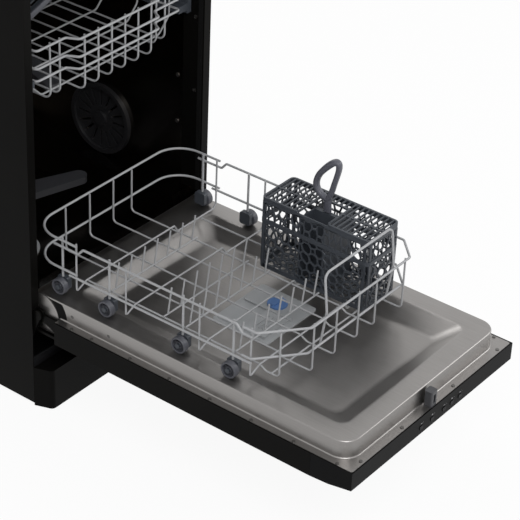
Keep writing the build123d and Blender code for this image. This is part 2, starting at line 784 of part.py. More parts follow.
# Hinge brackets: a plate each side, up from the base to a pin on the hinge line
bracket_side_gap = 8.0
bracket_sheet = 3.0
bracket_inner = half_width - bracket_side_gap
bracket_outer = bracket_inner + bracket_sheet
bracket_front = 22.0
bracket_rear = 60.0
bracket_eye = 9.0
cover_gap = 0.6
cover_sheet = 1.0
cover_inner = rim_half + cover_gap
pin_radius = 4.0
pin_inner = cover_inner + cover_sheet
bracket_clear_z = 95.0
with BuildPart() as hinge_brackets:
    for side in sides.values():
        with BuildSketch(across(side * bracket_inner)):
            with BuildLine():
                Polyline(
                    (bracket_front, base_deck),
                    (bracket_rear, base_deck),
                    (bracket_rear, pivot_z - 10),
                    (pivot_y + 4, pivot_z + 6),
                    (pivot_y - 4, pivot_z - 10),
                    (bracket_front, bracket_clear_z),
                    close=True,
                )
            make_face()
            with Locations((pivot_y, pivot_z)):
                Circle(bracket_eye)
        extrude(amount=side * (bracket_outer - bracket_inner))
        with BuildSketch(across(side * pin_inner)):
            with Locations((pivot_y, pivot_z)):
                Circle(pin_radius)
        extrude(amount=side * (bracket_outer - pin_inner))
hinge_brackets.part.label = "hinge_brackets"
export_step(hinge_brackets.part, "parts/hinge_brackets.step")

# Hinge covers: bright half discs beside the roll of the door
cover_rise = 0.8
cover_low = 6.0
cover_radius = roll_radius + cover_rise
with BuildPart() as hinge_covers:
    for side in sides.values():
        with BuildSketch(across(side * cover_inner)):
            with Locations((pivot_y, pivot_z)):
                Circle(cover_radius)
            with Locations((pivot_y, pivot_z - cover_radius)):
                Rectangle(2 * cover_radius, 2 * (cover_radius - cover_low), mode=Mode.SUBTRACT)
        extrude(amount=side * cover_sheet)
hinge_covers.part.label = "hinge_covers"
export_step(hinge_covers.part, "parts/hinge_covers.step")

# Hinge springs: wound springs in their sleeves, along the rim of the base tray
spring_radius = 7.0
spring_x = base_half - base_wall - spring_radius - seat_gap
spring_z = 66.0
spring_front = 66.0
spring_rear = 190.0
with BuildPart() as hinge_springs:
    for side in sides.values():
        with BuildSketch(facing(spring_front)):
            with Locations((-side * spring_x, spring_z)):
                Circle(spring_radius)
                Circle(spring_radius - 2, mode=Mode.SUBTRACT)
        extrude(amount=spring_rear - spring_front)
hinge_springs.part.label = "hinge_springs"
export_step(hinge_springs.part, "parts/hinge_springs.step")

# Door, drawn where it lies when it is fully open
door_side_gap = 2.0
door_top_gap = 2.2
door_half = half_width - door_side_gap
door_sheet = 1.0
door_under = 144.7
flange_top = 187.0
flange_sheet = 1.0
flange_rear = -47.0
door_end = pivot_y - (worktop_bottom - door_top_gap - pivot_z)
fascia_depth = 77.0
fascia_rear = door_end + fascia_depth
tail_rear = 75.0
tail_inset = 10.0
tail_half = door_half - tail_inset
tail_rim = 4.0
return_width = 12.0
with BuildPart() as door_outer_panel:
    with BuildSketch(Plane.XY.offset(door_under)):
        with Locations((0, (fascia_rear + flange_rear) / 2)):
            Rectangle(2 * door_half, flange_rear - fascia_rear)
    extrude(amount=flange_top - door_under)
    with BuildSketch(Plane.XY.offset(door_under + door_sheet)):
        with Locations((0, (fascia_rear + flange_rear) / 2)):
            Rectangle(2 * (door_half - door_sheet), flange_rear - fascia_rear)
    extrude(amount=flange_top - door_under, mode=Mode.SUBTRACT)
    with BuildSketch(Plane.XY.offset(flange_top - flange_sheet)):
        for side in sides.values():
            with Locations((side * (door_half - return_width / 2), (fascia_rear + flange_rear) / 2)):
                Rectangle(return_width, flange_rear - fascia_rear)
    extrude(amount=-door_sheet)
    with BuildSketch(Plane.XY.offset(door_under)):
        with Locations((0, (flange_rear + tail_rear) / 2)):
            Rectangle(2 * tail_half, tail_rear - flange_rear)
    extrude(amount=tail_rim + door_sheet)
    with BuildSketch(Plane.XY.offset(door_under + door_sheet)):
        with Locations((0, (flange_rear + tail_rear - door_sheet) / 2)):
            Rectangle(2 * (tail_half - door_sheet), tail_rear - flange_rear - door_sheet)
    extrude(amount=2 * tail_rim, mode=Mode.SUBTRACT)
door_outer_panel.part.label = "door_outer_panel"
export_step(door_outer_panel.part, "parts/door_outer_panel.step")

# Control fascia along the free end of the door, with the holes of five buttons
fascia_wall = 2.5
fascia_gap = 0.3
fascia_chin = 42.0
fascia_chin_y = door_end + fascia_chin
fascia_chin_z = 147.0
fascia_lip_z = 155.0
button_x = (-39.0, -9.0, 24.0, 46.0, 69.0)
button_z = 167.0
button_width = 9.0
button_height = 7.0
button_clearance = 0.3
button_proud = 1.0
button_flange = 2.0
button_travel = 1.0
fascia_outline = [
    (fascia_rear - fascia_gap, door_under),
    (fascia_rear - fascia_gap, flange_top),
    (door_end, flange_top),
    (door_end, fascia_lip_z),
    (fascia_chin_y, fascia_chin_z),
]
with BuildPart() as control_fascia:
    with BuildSketch(across(0)):
        with BuildLine():
            Polyline(*fascia_outline, close=True)
        make_face()
    extrude(amount=door_half, both=True)
    with BuildSketch(across(0)):
        with BuildLine():
            Polyline(
                (fascia_rear, door_under + fascia_wall),
                (fascia_rear, flange_top + fascia_wall),
                (door_end + fascia_wall, flange_top + fascia_wall),
                (door_end + fascia_wall, fascia_lip_z + fascia_wall),
                (fascia_chin_y, fascia_chin_z + fascia_wall),
                close=True,
            )
        make_face()
    extrude(amount=door_half - fascia_wall, both=True, mode=Mode.SUBTRACT)
    with BuildSketch(Plane.XZ.offset(-door_end - fascia_wall)):
        for x in button_x:
            with Locations((x, button_z)):
                Rectangle(button_width, button_height)
    extrude(amount=2 * fascia_wall, both=True, mode=Mode.SUBTRACT)
control_fascia.part.label = "control_fascia"
export_step(control_fascia.part, "parts/control_fascia.step")

fascia_inner_y = door_end + fascia_wall
button_rear = fascia_inner_y + 5.0
for count, x in enumerate(button_x, start=1):
    with BuildPart() as button:
        with BuildSketch(Plane.XZ.offset(-door_end + button_proud)):
            with Locations((x, button_z)):
                RectangleRounded(button_width - 2 * button_clearance, button_height - 2 * button_clearance, 1.2)
        extrude(amount=door_end - button_proud - button_rear)
        with BuildSketch(Plane.XZ.offset(-fascia_inner_y - button_clearance)):
            with Locations((x, button_z)):
                Rectangle(button_width + button_flange, button_height + button_flange)
        extrude(amount=-button_flange / 2)
    button.part.label = f"button_{count}"
    export_step(button.part, f"parts/button_{count}.step")

# Control board behind the buttons, on two pegs of its own
board_front = button_rear + button_travel + 0.4
board_thickness = 1.6
board_left = -64.0
board_right = 94.0
board_top = flange_top - flange_sheet - 0.6
board_bottom = fascia_lip_z + fascia_wall + 0.6
with BuildPart() as control_board:
    with BuildSketch(Plane.XZ.offset(-board_front)):
        with Locations(((board_left + board_right) / 2, (board_bottom + board_top) / 2)):
            Rectangle(board_right - board_left, board_top - board_bottom)
    extrude(amount=-board_thickness)
    with BuildSketch(Plane.XZ.offset(-board_front - board_thickness)):
        with Locations(((board_left + board_right) / 2, (board_bottom + board_top) / 2)):
            with GridLocations(24, 1, 5, 1):
                Rectangle(12, 8)
    extrude(amount=-5)
control_board.part.label = "control_board"
export_step(control_board.part, "parts/control_board.step")

# Liner: flange, raised rim, sloping recess, and the roll about the hinge line
liner_half = door_half - fascia_wall - seat_gap
liner_front = door_end + fascia_wall + seat_gap
rim_setback = 20.0
rim_front = door_end + rim_setback
rim_corner = 30.0
liner_sheet = 1.0
recess_half = rim_half - wheel_ledge
rim_front_ledge = 38.0
recess_front = rim_front + rim_front_ledge
recess_rear = -52.0
recess_floor = 197.0
recess_run = 34.0
recess_corner = 18.0
roll_end_gap = 2.7
roll_end_drop = pivot_z - door_under - door_sheet - roll_end_gap


def rim_profile(inset, base_z):
    """Side view of the rim and its roll, drawn in by an even inset."""
    radius = roll_radius - inset
    top_z = pivot_z + radius
    end_y = pivot_y + sqrt(radius**2 - roll_end_drop**2)
    end_z = pivot_z - roll_end_drop
    with BuildSketch(across(0), mode=Mode.PRIVATE) as profile:
        with BuildLine():
            Polyline((flange_rear, base_z), (rim_front + inset, base_z), (rim_front + inset, top_z), (pivot_y, top_z))
            ThreePointArc((pivot_y, top_z), (pivot_y + radius, pivot_z), (end_y, end_z))
            Polyline((end_y, end_z), (flange_rear, end_z), (flange_rear, base_z))
        make_face()
    return profile.sketch


dispenser_x = 10.0
dispenser_y = -298.0
dispenser_hole_x = 120.0
dispenser_hole_y = 100.0
liner_under = flange_top - flange_sheet
with BuildPart() as rim_hollow:
    extrude(rim_profile(liner_sheet, liner_under - 2 * liner_sheet), amount=rim_half - liner_sheet, both=True)
    fillet(rim_hollow.edges().filter_by(Axis.Z).group_by(Axis.Y)[0], rim_corner - liner_sheet)
with BuildPart() as door_liner:
    extrude(rim_profile(0.0, liner_under), amount=rim_half, both=True)
    fillet(door_liner.edges().filter_by(Axis.Z).group_by(Axis.Y)[0], rim_corner)
    with BuildSketch(Plane.XY.offset(liner_under)):
        with Locations((0, (liner_front + flange_rear) / 2)):
            Rectangle(2 * liner_half, flange_rear - liner_front)
    extrude(amount=flange_sheet)
    add(rim_hollow.part, mode=Mode.SUBTRACT)
    for grow, depth_more, cut in ((liner_sheet * 1.5, liner_sheet, Mode.ADD), (0.0, 0.0, Mode.SUBTRACT)):
        recess_middle = (recess_front + recess_rear) / 2
        with BuildSketch(Plane.XY.offset(shelf_z - depth_more)):
            with Locations((0, recess_middle)):
                RectangleRounded(2 * (recess_half + grow), recess_rear - recess_front + 2 * grow, recess_corner + grow)
        with BuildSketch(Plane.XY.offset(recess_floor - depth_more)):
            with Locations((0, recess_middle)):
                RectangleRounded(
                    2 * (recess_half - recess_run + grow),
                    recess_rear - recess_front - 2 * (recess_run - grow),
                    recess_corner + grow,
                )
        loft(mode=cut)
    with BuildSketch(Plane.XY.offset(recess_floor - 2 * liner_sheet)):
        with Locations((dispenser_x, dispenser_y)):
            Rectangle(dispenser_hole_x, dispenser_hole_y)
    extrude(amount=3 * liner_sheet, mode=Mode.SUBTRACT)
door_liner.part.label = "door_liner"
export_step(door_liner.part, "parts/door_liner.step")

# Hinge arms inside the door, with eyes on the pins
arm_rim_gap = 3.9
arm_sheet = 3.0
arm_inner = rim_half + arm_rim_gap
arm_outer = arm_inner + arm_sheet
arm_front = -210.0
arm_low = 150.0
arm_high = 183.0
eye_radius = 9.0
eye_clearance = 0.3
with BuildPart() as hinge_arms:
    for side in sides.values():
        with BuildSketch(across(side * arm_inner)):
            with BuildLine():
                Polyline(
                    (arm_front, arm_low),
                    (flange_rear - 12, arm_low),
                    (pivot_y, pivot_z - eye_radius),
                    (pivot_y, arm_high),
                    (arm_front, arm_high),
                    close=True,
                )
            make_face()
            with Locations((pivot_y, pivot_z)):
                Circle(eye_radius)
                Circle(pin_radius + eye_clearance, mode=Mode.SUBTRACT)
        extrude(amount=side * (arm_outer - arm_inner))
hinge_arms.part.label = "hinge_arms"
export_step(hinge_arms.part, "parts/hinge_arms.step")

# Gaiters: rubber strips between the rim and the hinge arms, under the ends of the side flanges
gaiter_front = -60.0
gaiter_rear = flange_rear - 0.6
gaiter_low = 150.0
gaiter_inner = rim_half + 0.4
gaiter_outer = arm_inner - 0.3
with BuildPart() as hinge_gaiters:
    for side in sides.values():
        with BuildSketch(across(side * gaiter_inner)):
            with Locations(((gaiter_front + gaiter_rear) / 2, (gaiter_low + liner_under - seat_gap) / 2)):
                RectangleRounded(gaiter_rear - gaiter_front, liner_under - seat_gap - gaiter_low, 3)
        extrude(amount=side * (gaiter_outer - gaiter_inner))
hinge_gaiters.part.label = "hinge_gaiters"
export_step(hinge_gaiters.part, "parts/hinge_gaiters.step")

# Strike: a slotted hook on the flange, in front of the rim
strike_x = -4.0
strike_width = 16.0
strike_depth = 15.0
strike_rim_gap = 3.0
strike_rear = rim_front - strike_rim_gap
strike_front = strike_rear - strike_depth
strike_top = 215.0
strike_slot_width = 6.0
strike_slot_low = 193.0
strike_slot_high = 209.0
with BuildPart() as door_strike:
    with BuildSketch(Plane.XY.offset(flange_top)):
        with Locations((strike_x, (strike_front + strike_rear) / 2)):
            RectangleRounded(strike_width, strike_rear - strike_front, 3)
    extrude(amount=strike_top - flange_top)
    with BuildSketch(Plane.XZ.offset(-strike_rear)):
        with Locations((strike_x, (strike_slot_low + strike_slot_high) / 2)):
            Rectangle(strike_slot_width, strike_slot_high - strike_slot_low)
    extrude(amount=strike_rear - strike_front, mode=Mode.SUBTRACT)
door_strike.part.label = "door_strike"
export_step(door_strike.part, "parts/door_strike.step")

# Liner screws: along both side flanges and across the front flange
liner_screw_inset = 6.0
liner_screw_x = door_half - liner_screw_inset
liner_screw_hinge_y = -80.0
liner_screw_start_y = -123.0
liner_screw_end_y = door_end + 32.0
liner_screw_gaps = 6
liner_screw_pitch = (liner_screw_end_y - liner_screw_start_y) / liner_screw_gaps
liner_screw_rows = [liner_screw_hinge_y]
liner_screw_rows += [liner_screw_start_y + count * liner_screw_pitch for count in range(liner_screw_gaps + 1)]
liner_screw_front_y = door_end + 8.5
liner_screw_front_x = (33.0 - door_half, -81.0, 60.0, door_half - 33.0)
liner_screw_spots = [(side * liner_screw_x, y) for side in sides.values() for y in liner_screw_rows]
liner_screw_spots += [(x, liner_screw_front_y) for x in liner_screw_front_x]
liner_screw_radius = 2.9
with BuildPart() as liner_screws:
    with BuildSketch(Plane.XY.offset(flange_top)):
        with Locations(*liner_screw_spots):
            Circle(liner_screw_radius)
    extrude(amount=screw_height)
liner_screws.part.label = "liner_screws"
export_step(liner_screws.part, "parts/liner_screws.step")

# Detergent dispenser in the recess of the liner: body, sliding lid, rinse aid cap
dispenser_clearance = 0.3
dispenser_rim = 7.0
dispenser_top = 199.5
dispenser_bottom = 166.0
pocket_left = -42.0
pocket_right = 14.0
pocket_front = -338.0
pocket_rear = -300.0
pocket_bottom = 172.0
lid_overlap = 4.0
lid_bottom = 199.8
lid_top = 202.6
lid_travel = 44.0
guide_width = 4.0
guide_lip = 2.0
guide_top = 204.6
rinse_x = 44.0
rinse_y = -298.0
rinse_radius = 17.0
rinse_top = 206.0
lid_half_gap = 0.3
lid_left = pocket_left - lid_overlap
lid_right = pocket_right + lid_overlap
lid_front = pocket_front - lid_overlap
lid_rear = pocket_rear + lid_overlap
guide_front = lid_front - 2
guide_rear = lid_rear + lid_travel + 2
with BuildPart() as dispenser_body:
    with BuildSketch(Plane.XY.offset(dispenser_bottom)):
        with Locations((dispenser_x, dispenser_y)):
            Rectangle(dispenser_hole_x - 2 * dispenser_clearance, dispenser_hole_y - 2 * dispenser_clearance)
    extrude(amount=recess_floor - dispenser_bottom)
    with BuildSketch(Plane.XY.offset(recess_floor)):
        with Locations((dispenser_x, dispenser_y)):
            RectangleRounded(dispenser_hole_x + 2 * dispenser_rim, dispenser_hole_y + 2 * dispenser_rim, 6)
    extrude(amount=dispenser_top - recess_floor)
    with BuildSketch(Plane.XY.offset(dispenser_top)):
        for guide_x in (lid_left - lid_half_gap - guide_width / 2, lid_right + lid_half_gap + guide_width / 2):
            with Locations((guide_x, (guide_front + guide_rear) / 2)):
                Rectangle(guide_width, guide_rear - guide_front)
    extrude(amount=guide_top - dispenser_top)
    with BuildSketch(Plane.XY.offset(lid_top + lid_half_gap)):
        for guide_x in (lid_left - lid_half_gap, lid_right + lid_half_gap):
            with Locations((guide_x, (guide_front + guide_rear) / 2)):
                Rectangle(2 * guide_lip, guide_rear - guide_front)
    extrude(amount=guide_top - lid_top - lid_half_gap)
    with BuildSketch(Plane.XY.offset(pocket_bottom)):
        with Locations(((pocket_left + pocket_right) / 2, (pocket_front + pocket_rear) / 2)):
            RectangleRounded(pocket_right - pocket_left, pocket_rear - pocket_front, 5)
    extrude(amount=dispenser_top - pocket_bottom, mode=Mode.SUBTRACT)
dispenser_body.part.label = "dispenser_body"
export_step(dispenser_body.part, "parts/dispenser_body.step")

with BuildPart() as dispenser_lid:
    with BuildSketch(Plane.XY.offset(lid_bottom)):
        with Locations(((lid_left + lid_right) / 2, (lid_front + lid_rear) / 2)):
            Rectangle(lid_right - lid_left, lid_rear - lid_front)
    extrude(amount=lid_top - lid_bottom)
    with BuildSketch(Plane.XY.offset(lid_top)):
        with Locations(((lid_left + lid_right) / 2, (lid_front + lid_rear) / 2)):
            with GridLocations(1, 8, 1, 3):
                Rectangle((lid_right - lid_left) * 0.6, 3)
    extrude(amount=guide_top - lid_top)
dispenser_lid.part.label = "dispenser_lid"
export_step(dispenser_lid.part, "parts/dispenser_lid.step")

with BuildPart() as rinse_aid_cap:
    with BuildSketch(Plane.XY.offset(dispenser_top + seat_gap)):
        with Locations((rinse_x, rinse_y)):
            Circle(rinse_radius)
    extrude(amount=3)
    with BuildSketch(Plane.XY.offset(dispenser_top + seat_gap + 3)):
        with Locations((rinse_x, rinse_y)):
            SlotOverall(1.7 * rinse_radius, 7)
    extrude(amount=rinse_top - dispenser_top - seat_gap - 3)
rinse_aid_cap.part.label = "rinse_aid_cap"
export_step(rinse_aid_cap.part, "parts/rinse_aid_cap.step")

# Lower basket: rails, cross wires, lengthwise wires, tines and a hand loop, none of them fused
basket_side_space = 26.6
basket_half = tub_half - basket_side_space
basket_top = 320.0
front_low_z = 268.0
rear_low_z = 266.0
side_low_z = 260.0
rail_kink_z = 308.0
loop_rear_y = 36.0
loop_end_y = -62.0
loop_corner = 50.0
front_nose_y = -481.0
nose_start_y = -400.0
nose_left_y = -427.0
nose_right_y = -444.0
nose_left_reach = 66.0
nose_right_reach = 37.0
nose_bend = 7.0
left_slope = (nose_left_y - front_nose_y) / nose_left_reach
right_slope = (nose_right_y - front_nose_y) / nose_right_reach
upright_x = basket_half - rail_step
cross_x = basket_half - rail_wire_step
wire_top = basket_top + rail_radius
cross_y = (-58.0, -163.0, -313.0, -414.0)
bed_y = (-110.0, -220.0, -265.0, -365.0)
cross_low_z = 232.0
floor_z = 242.0
bay_z = 228.0
bay_side_space = 10.0
bay_width = 106.0
bay_right = basket_half - bay_side_space
bay_left = bay_right - bay_width
long_z = floor_z - wire_step
bay_long_z = bay_z - wire_step
long_x = (32.0 - basket_half, -105.0, -46.0, 13.0, bay_left - 6, bay_right - 34)
riser_limit = basket_half - loop_corner
riser_rear_y = loop_rear_y - rail_wire_step
dip_front_y = -424.0
dip_rear_y = -410.0
dip_z = bay_z + wire_step
tine_radius = 1.5
tine_pitch = 32.0
tine_start = 40.0 - basket_half
tine_foot = wire_radius + 0.4
tine_height = 46.0
tine_lean = 8.0
hand_left = -75.0
hand_right = 103.0
hand_top = 392.0
hand_top_y = -470.0
front_bar_y = -431.0
front_bar_half = basket_half - 35.0
wheel_y = (-28.0, -128.0, -280.0, -380.0)
wheel_radius = 14.3
wheel_lift = 0.2
axle_z = shelf_z + wheel_radius + wheel_lift
thick_upright_foot = axle_z + wheel_radius + 1.0


def nose_y(x, inset):
    """How far forward the front of the basket reaches at x, drawn in by an even inset."""
    from_left = nose_left_y + inset * sqrt(1 + left_slope**2) - left_slope * (x + basket_half)
    from_right = nose_right_y + inset * sqrt(1 + right_slope**2) - right_slope * (basket_half - x)
    return max(front_nose_y + inset, from_left, from_right)


def nose_rail(z, inset):
    """A front rail of the basket at one height, drawn in by an even inset."""
    left_length = sqrt(1 + left_slope**2)
    right_length = sqrt(1 + right_slope**2)
    left_reach = (nose_left_y - front_nose_y + inset * (left_length - 1)) / left_slope
    right_reach = (nose_right_y - front_nose_y + inset * (right_length - 1)) / right_slope
    route = [
        (-basket_half, nose_start_y, z),
        (-basket_half, nose_left_y + inset * left_length, z),
        (left_reach - basket_half, front_nose_y + inset, z),
        (basket_half - right_reach, front_nose_y + inset, z),
        (basket_half, nose_right_y + inset * right_length, z),
        (basket_half, nose_start_y, z),
    ]
    return rod(route, rail_radius, nose_bend)


basket_wires = [
    rod(
        [
            (-basket_half, loop_end_y, z),
            (-basket_half, loop_rear_y, z),
            (basket_half, loop_rear_y, z),
            (basket_half, loop_end_y, z),
        ],
        rail_radius,
        loop_corner,
    )
    for z in (basket_top, rear_low_z)
]
# The front wires rise between the top rail and the low rail
low_rail_inset = 2 * rail_wire_step
basket_wires.append(nose_rail(basket_top, 0.0))
basket_wires.append(nose_rail(front_low_z, low_rail_inset))
for side in sides.values():
    rail_x = side * basket_half
    basket_wires.append(
        rod(
            [
                (rail_x, -14.0, rail_kink_z),
                (rail_x, -66.0, rail_kink_z),
                (rail_x, -76.0, basket_top),
                (rail_x, -388.0, basket_top),
                (rail_x, -400.0, rail_kink_z),
                (rail_x, -418.0, rail_kink_z),
            ],
            rail_radius,
            5.0,
        )
    )
    basket_wires.append(rod([(rail_x, -46.0, side_low_z), (rail_x, -418.0, side_low_z)], rail_radius))
    for y in wheel_y:
        post = [(side * upright_x, y, wire_top), (side * upright_x, y, thick_upright_foot)]
        basket_wires.append(rod(post, rail_radius))
for y in cross_y:
    basket_wires.append(
        rod(
            [
                (-cross_x, y, wire_top),
                (-cross_x, y, cross_low_z),
                (24 - cross_x, y, floor_z),
                (bay_left, y, floor_z),
                (bay_left + 9, y, bay_z),
                (bay_right, y, bay_z),
                (cross_x, y, cross_low_z + 4),
                (cross_x, y, wire_top),
            ],
            wire_radius,
            3.0,
        )
    )
for y in bed_y:
    basket_wires.append(rod([(long_x[0] - 3, y, floor_z), (bay_left - 2, y, floor_z)], wire_radius))
    tine_x = tine_start
    while tine_x < bay_left - 6:
        tine_ends = [(tine_x, y, floor_z + tine_foot), (tine_x + tine_lean, y, floor_z + tine_height)]
        basket_wires.append(rod(tine_ends, tine_radius))
        tine_x += tine_pitch
for x in long_x:
    in_bay = x > bay_left
    run_z = bay_long_z if in_bay else long_z
    riser_y = nose_y(x, rail_wire_step)
    route = [(x, riser_y, basket_top)]
    if in_bay:
        route += [(x, riser_y, run_z), (x, cross_y[0] + 3, run_z)]
    else:
        route += [(x, riser_y, dip_z), (x, dip_front_y, dip_z), (x, dip_rear_y, run_z)]
        if abs(x) < riser_limit:
            route += [(x, riser_rear_y, run_z), (x, riser_rear_y, basket_top)]
        else:
            route += [(x, cross_y[0] + 3, run_z)]
    basket_wires.append(rod(route, wire_radius, 8.0))
basket_wires.append(rod([(-front_bar_half, front_bar_y, bay_z), (front_bar_half, front_bar_y, bay_z)], wire_radius))
# The hand loop leans on the inner side of both front rails
hand_lean = low_rail_inset / (basket_top - front_low_z)
hand_step = rail_step * sqrt(1 + hand_lean**2)
hand_foot_drop = 5.0
hand_bend_rise = 6.0
hand_foot_y = front_nose_y + low_rail_inset + hand_step + hand_lean * hand_foot_drop
hand_bend_y = front_nose_y + hand_step - hand_lean * hand_bend_rise
basket_wires.append(
    rod(
        [
            (hand_left, hand_foot_y, front_low_z - hand_foot_drop),
            (hand_left, hand_bend_y, basket_top + hand_bend_rise),
            (hand_left, hand_top_y, hand_top),
            (hand_right, hand_top_y, hand_top),
            (hand_right, hand_bend_y, basket_top + hand_bend_rise),
            (hand_right, hand_foot_y, front_low_z - hand_foot_drop),
        ],
        rail_radius,
        12.0,
    )
)
with BuildPart() as lower_basket:
    add(basket_wires)
lower_basket.part.label = "lower_basket"
export_step(lower_basket.part, "parts/lower_basket.step")

# Wheel brackets: plastic feet under the thick uprights, each with an axle
bracket_block_outer = upright_x + 1.1
bracket_block_inner = bracket_block_outer - 9.0
bracket_block_half = 11.0
bracket_block_low = 225.0
wheel_width = 11.0
wheel_gap = 0.4
axle_radius = 3.0
axle_clearance = 0.3
wheel_inner_x = bracket_block_outer + wheel_gap
wheel_outer_x = wheel_inner_x + wheel_width
with BuildPart() as wheel_brackets:
    for side in sides.values():
        for y in wheel_y:
            with BuildSketch(across(side * bracket_block_inner)):
                with Locations((y, (bracket_block_low + thick_upright_foot) / 2)):
                    RectangleRounded(2 * bracket_block_half, thick_upright_foot - bracket_block_low - 0.5, 4)
            extrude(amount=side * (bracket_block_outer - bracket_block_inner))
            with BuildSketch(across(side * bracket_block_outer)):
                with Locations((y, axle_z)):
                    Circle(axle_radius)
            extrude(amount=side * (wheel_width + 2 * wheel_gap))
            with BuildSketch(across(side * (wheel_outer_x + wheel_gap))):
                with Locations((y, axle_z)):
                    Circle(axle_radius + 1.2)
            extrude(amount=side * 1.2)
wheel_brackets.part.label = "wheel_brackets"
export_step(wheel_brackets.part, "parts/wheel_brackets.step")

# Wheels: a left and a right wheel on each of four axle lines
wheel_recess_radius = 10.0
wheel_hub_radius = 5.5
wheel_recess = 3.0
for count, y in enumerate(wheel_y, start=1):
    with BuildPart() as wheel_pair:
        for side in sides.values():
            with BuildSketch(across(side * wheel_inner_x)):
                with Locations((y, axle_z)):
                    Circle(wheel_radius)
            extrude(amount=side * wheel_width)
            with BuildSketch(across(side * wheel_outer_x)):
                with Locations((y, axle_z)):
                    Circle(wheel_recess_radius)
                    Circle(wheel_hub_radius, mode=Mode.SUBTRACT)
            extrude(amount=-side * wheel_recess, mode=Mode.SUBTRACT)
            with BuildSketch(across(side * wheel_inner_x)):
                with Locations((y, axle_z)):
                    Circle(axle_radius + axle_clearance)
            extrude(amount=side * wheel_width, mode=Mode.SUBTRACT)
    wheel_pair.part.label = f"wheel_pair_{count}"
    export_step(wheel_pair.part, f"parts/wheel_pair_{count}.step")

# Cutlery basket: an open box with windows in its walls, standing in the bay of the lower basket
caddy_side_gap = 7.0
caddy_span = 85.0
caddy_right = bay_right - caddy_side_gap
caddy_left = caddy_right - caddy_span
caddy_front = -444.0
caddy_rear = -229.0
caddy_bottom = bay_z + wire_radius + 0.4
caddy_top = 360.0
caddy_wall = 2.5
caddy_corner = 8.0
caddy_window = 15.0
caddy_window_pitch = 20.0
caddy_rows = 5
caddy_width = caddy_right - caddy_left
caddy_length = caddy_rear - caddy_front
caddy_x = (caddy_left + caddy_right) / 2
caddy_y = (caddy_front + caddy_rear) / 2
caddy_z = (caddy_bottom + caddy_top) / 2
caddy_columns = int((caddy_length - 2 * caddy_corner) / caddy_window_pitch)
caddy_end_columns = int((caddy_width - 2 * caddy_corner) / caddy_window_pitch)
handle_y = caddy_y + 5.0
handle_half = 23.5
handle_stem = 7.0
handle_loop_low = caddy_top + 23.0
handle_loop_top = caddy_top + 98.0
handle_thickness = 8.0
handle_bar = 8.0
with BuildPart() as cutlery_basket:
    with BuildSketch(Plane.XY.offset(caddy_bottom)):
        with Locations((caddy_x, caddy_y)):
            RectangleRounded(caddy_width, caddy_length, caddy_corner)
    extrude(amount=caddy_top - caddy_bottom)
    with BuildSketch(Plane.XY.offset(caddy_bottom + caddy_wall)):
        with Locations((caddy_x, caddy_y)):
            RectangleRounded(
                caddy_width - 2 * caddy_wall, caddy_length - 2 * caddy_wall, caddy_corner - caddy_wall
            )
    extrude(amount=caddy_top, mode=Mode.SUBTRACT)
    with BuildSketch(across(caddy_left - caddy_wall)):
        with Locations((caddy_y, caddy_z)):
            with GridLocations(caddy_window_pitch, caddy_window_pitch, caddy_columns, caddy_rows):
                Rectangle(caddy_window, caddy_window)
    extrude(amount=caddy_width + 2 * caddy_wall, mode=Mode.SUBTRACT)
    with BuildSketch(facing(caddy_front - caddy_wall)):
        with Locations((-caddy_x, caddy_z)):
            with GridLocations(caddy_window_pitch, caddy_window_pitch, caddy_end_columns, caddy_rows):
                Rectangle(caddy_window, caddy_window)
    extrude(amount=caddy_length + 2 * caddy_wall, mode=Mode.SUBTRACT)
    with BuildSketch(Plane.XY.offset(caddy_bottom)):
        for divider_y in (handle_y - handle_half, handle_y + handle_half):
            with Locations((caddy_x, divider_y)):
                Rectangle(caddy_width - caddy_wall, caddy_wall)
        with Locations((caddy_x, handle_y)):
            Rectangle(handle_thickness, 2 * handle_half)
    extrude(amount=caddy_top - caddy_bottom - 2 * caddy_wall)
cutlery_basket.part.label = "cutlery_basket"
export_step(cutlery_basket.part, "parts/cutlery_basket.step")

# Handle of the cutlery basket: a long loop on a stem
with BuildPart() as cutlery_handle:
    with BuildSketch(across(caddy_x)):
        with Locations((handle_y, (handle_loop_low + handle_loop_top) / 2)):
            Ellipse(handle_half, (handle_loop_top - handle_loop_low) / 2)
            Ellipse(
                handle_half - handle_bar,
                (handle_loop_top - handle_loop_low) / 2 - handle_bar,
                mode=Mode.SUBTRACT,
            )
        with Locations((handle_y, (caddy_top - 2 * caddy_wall + handle_loop_low + handle_bar / 2) / 2)):
            Rectangle(2 * handle_stem, handle_loop_low + handle_bar / 2 - caddy_top + 2 * caddy_wall)
    extrude(amount=handle_thickness / 2, both=True)
cutlery_handle.part.label = "cutlery_handle"
export_step(cutlery_handle.part, "parts/cutlery_handle.step")

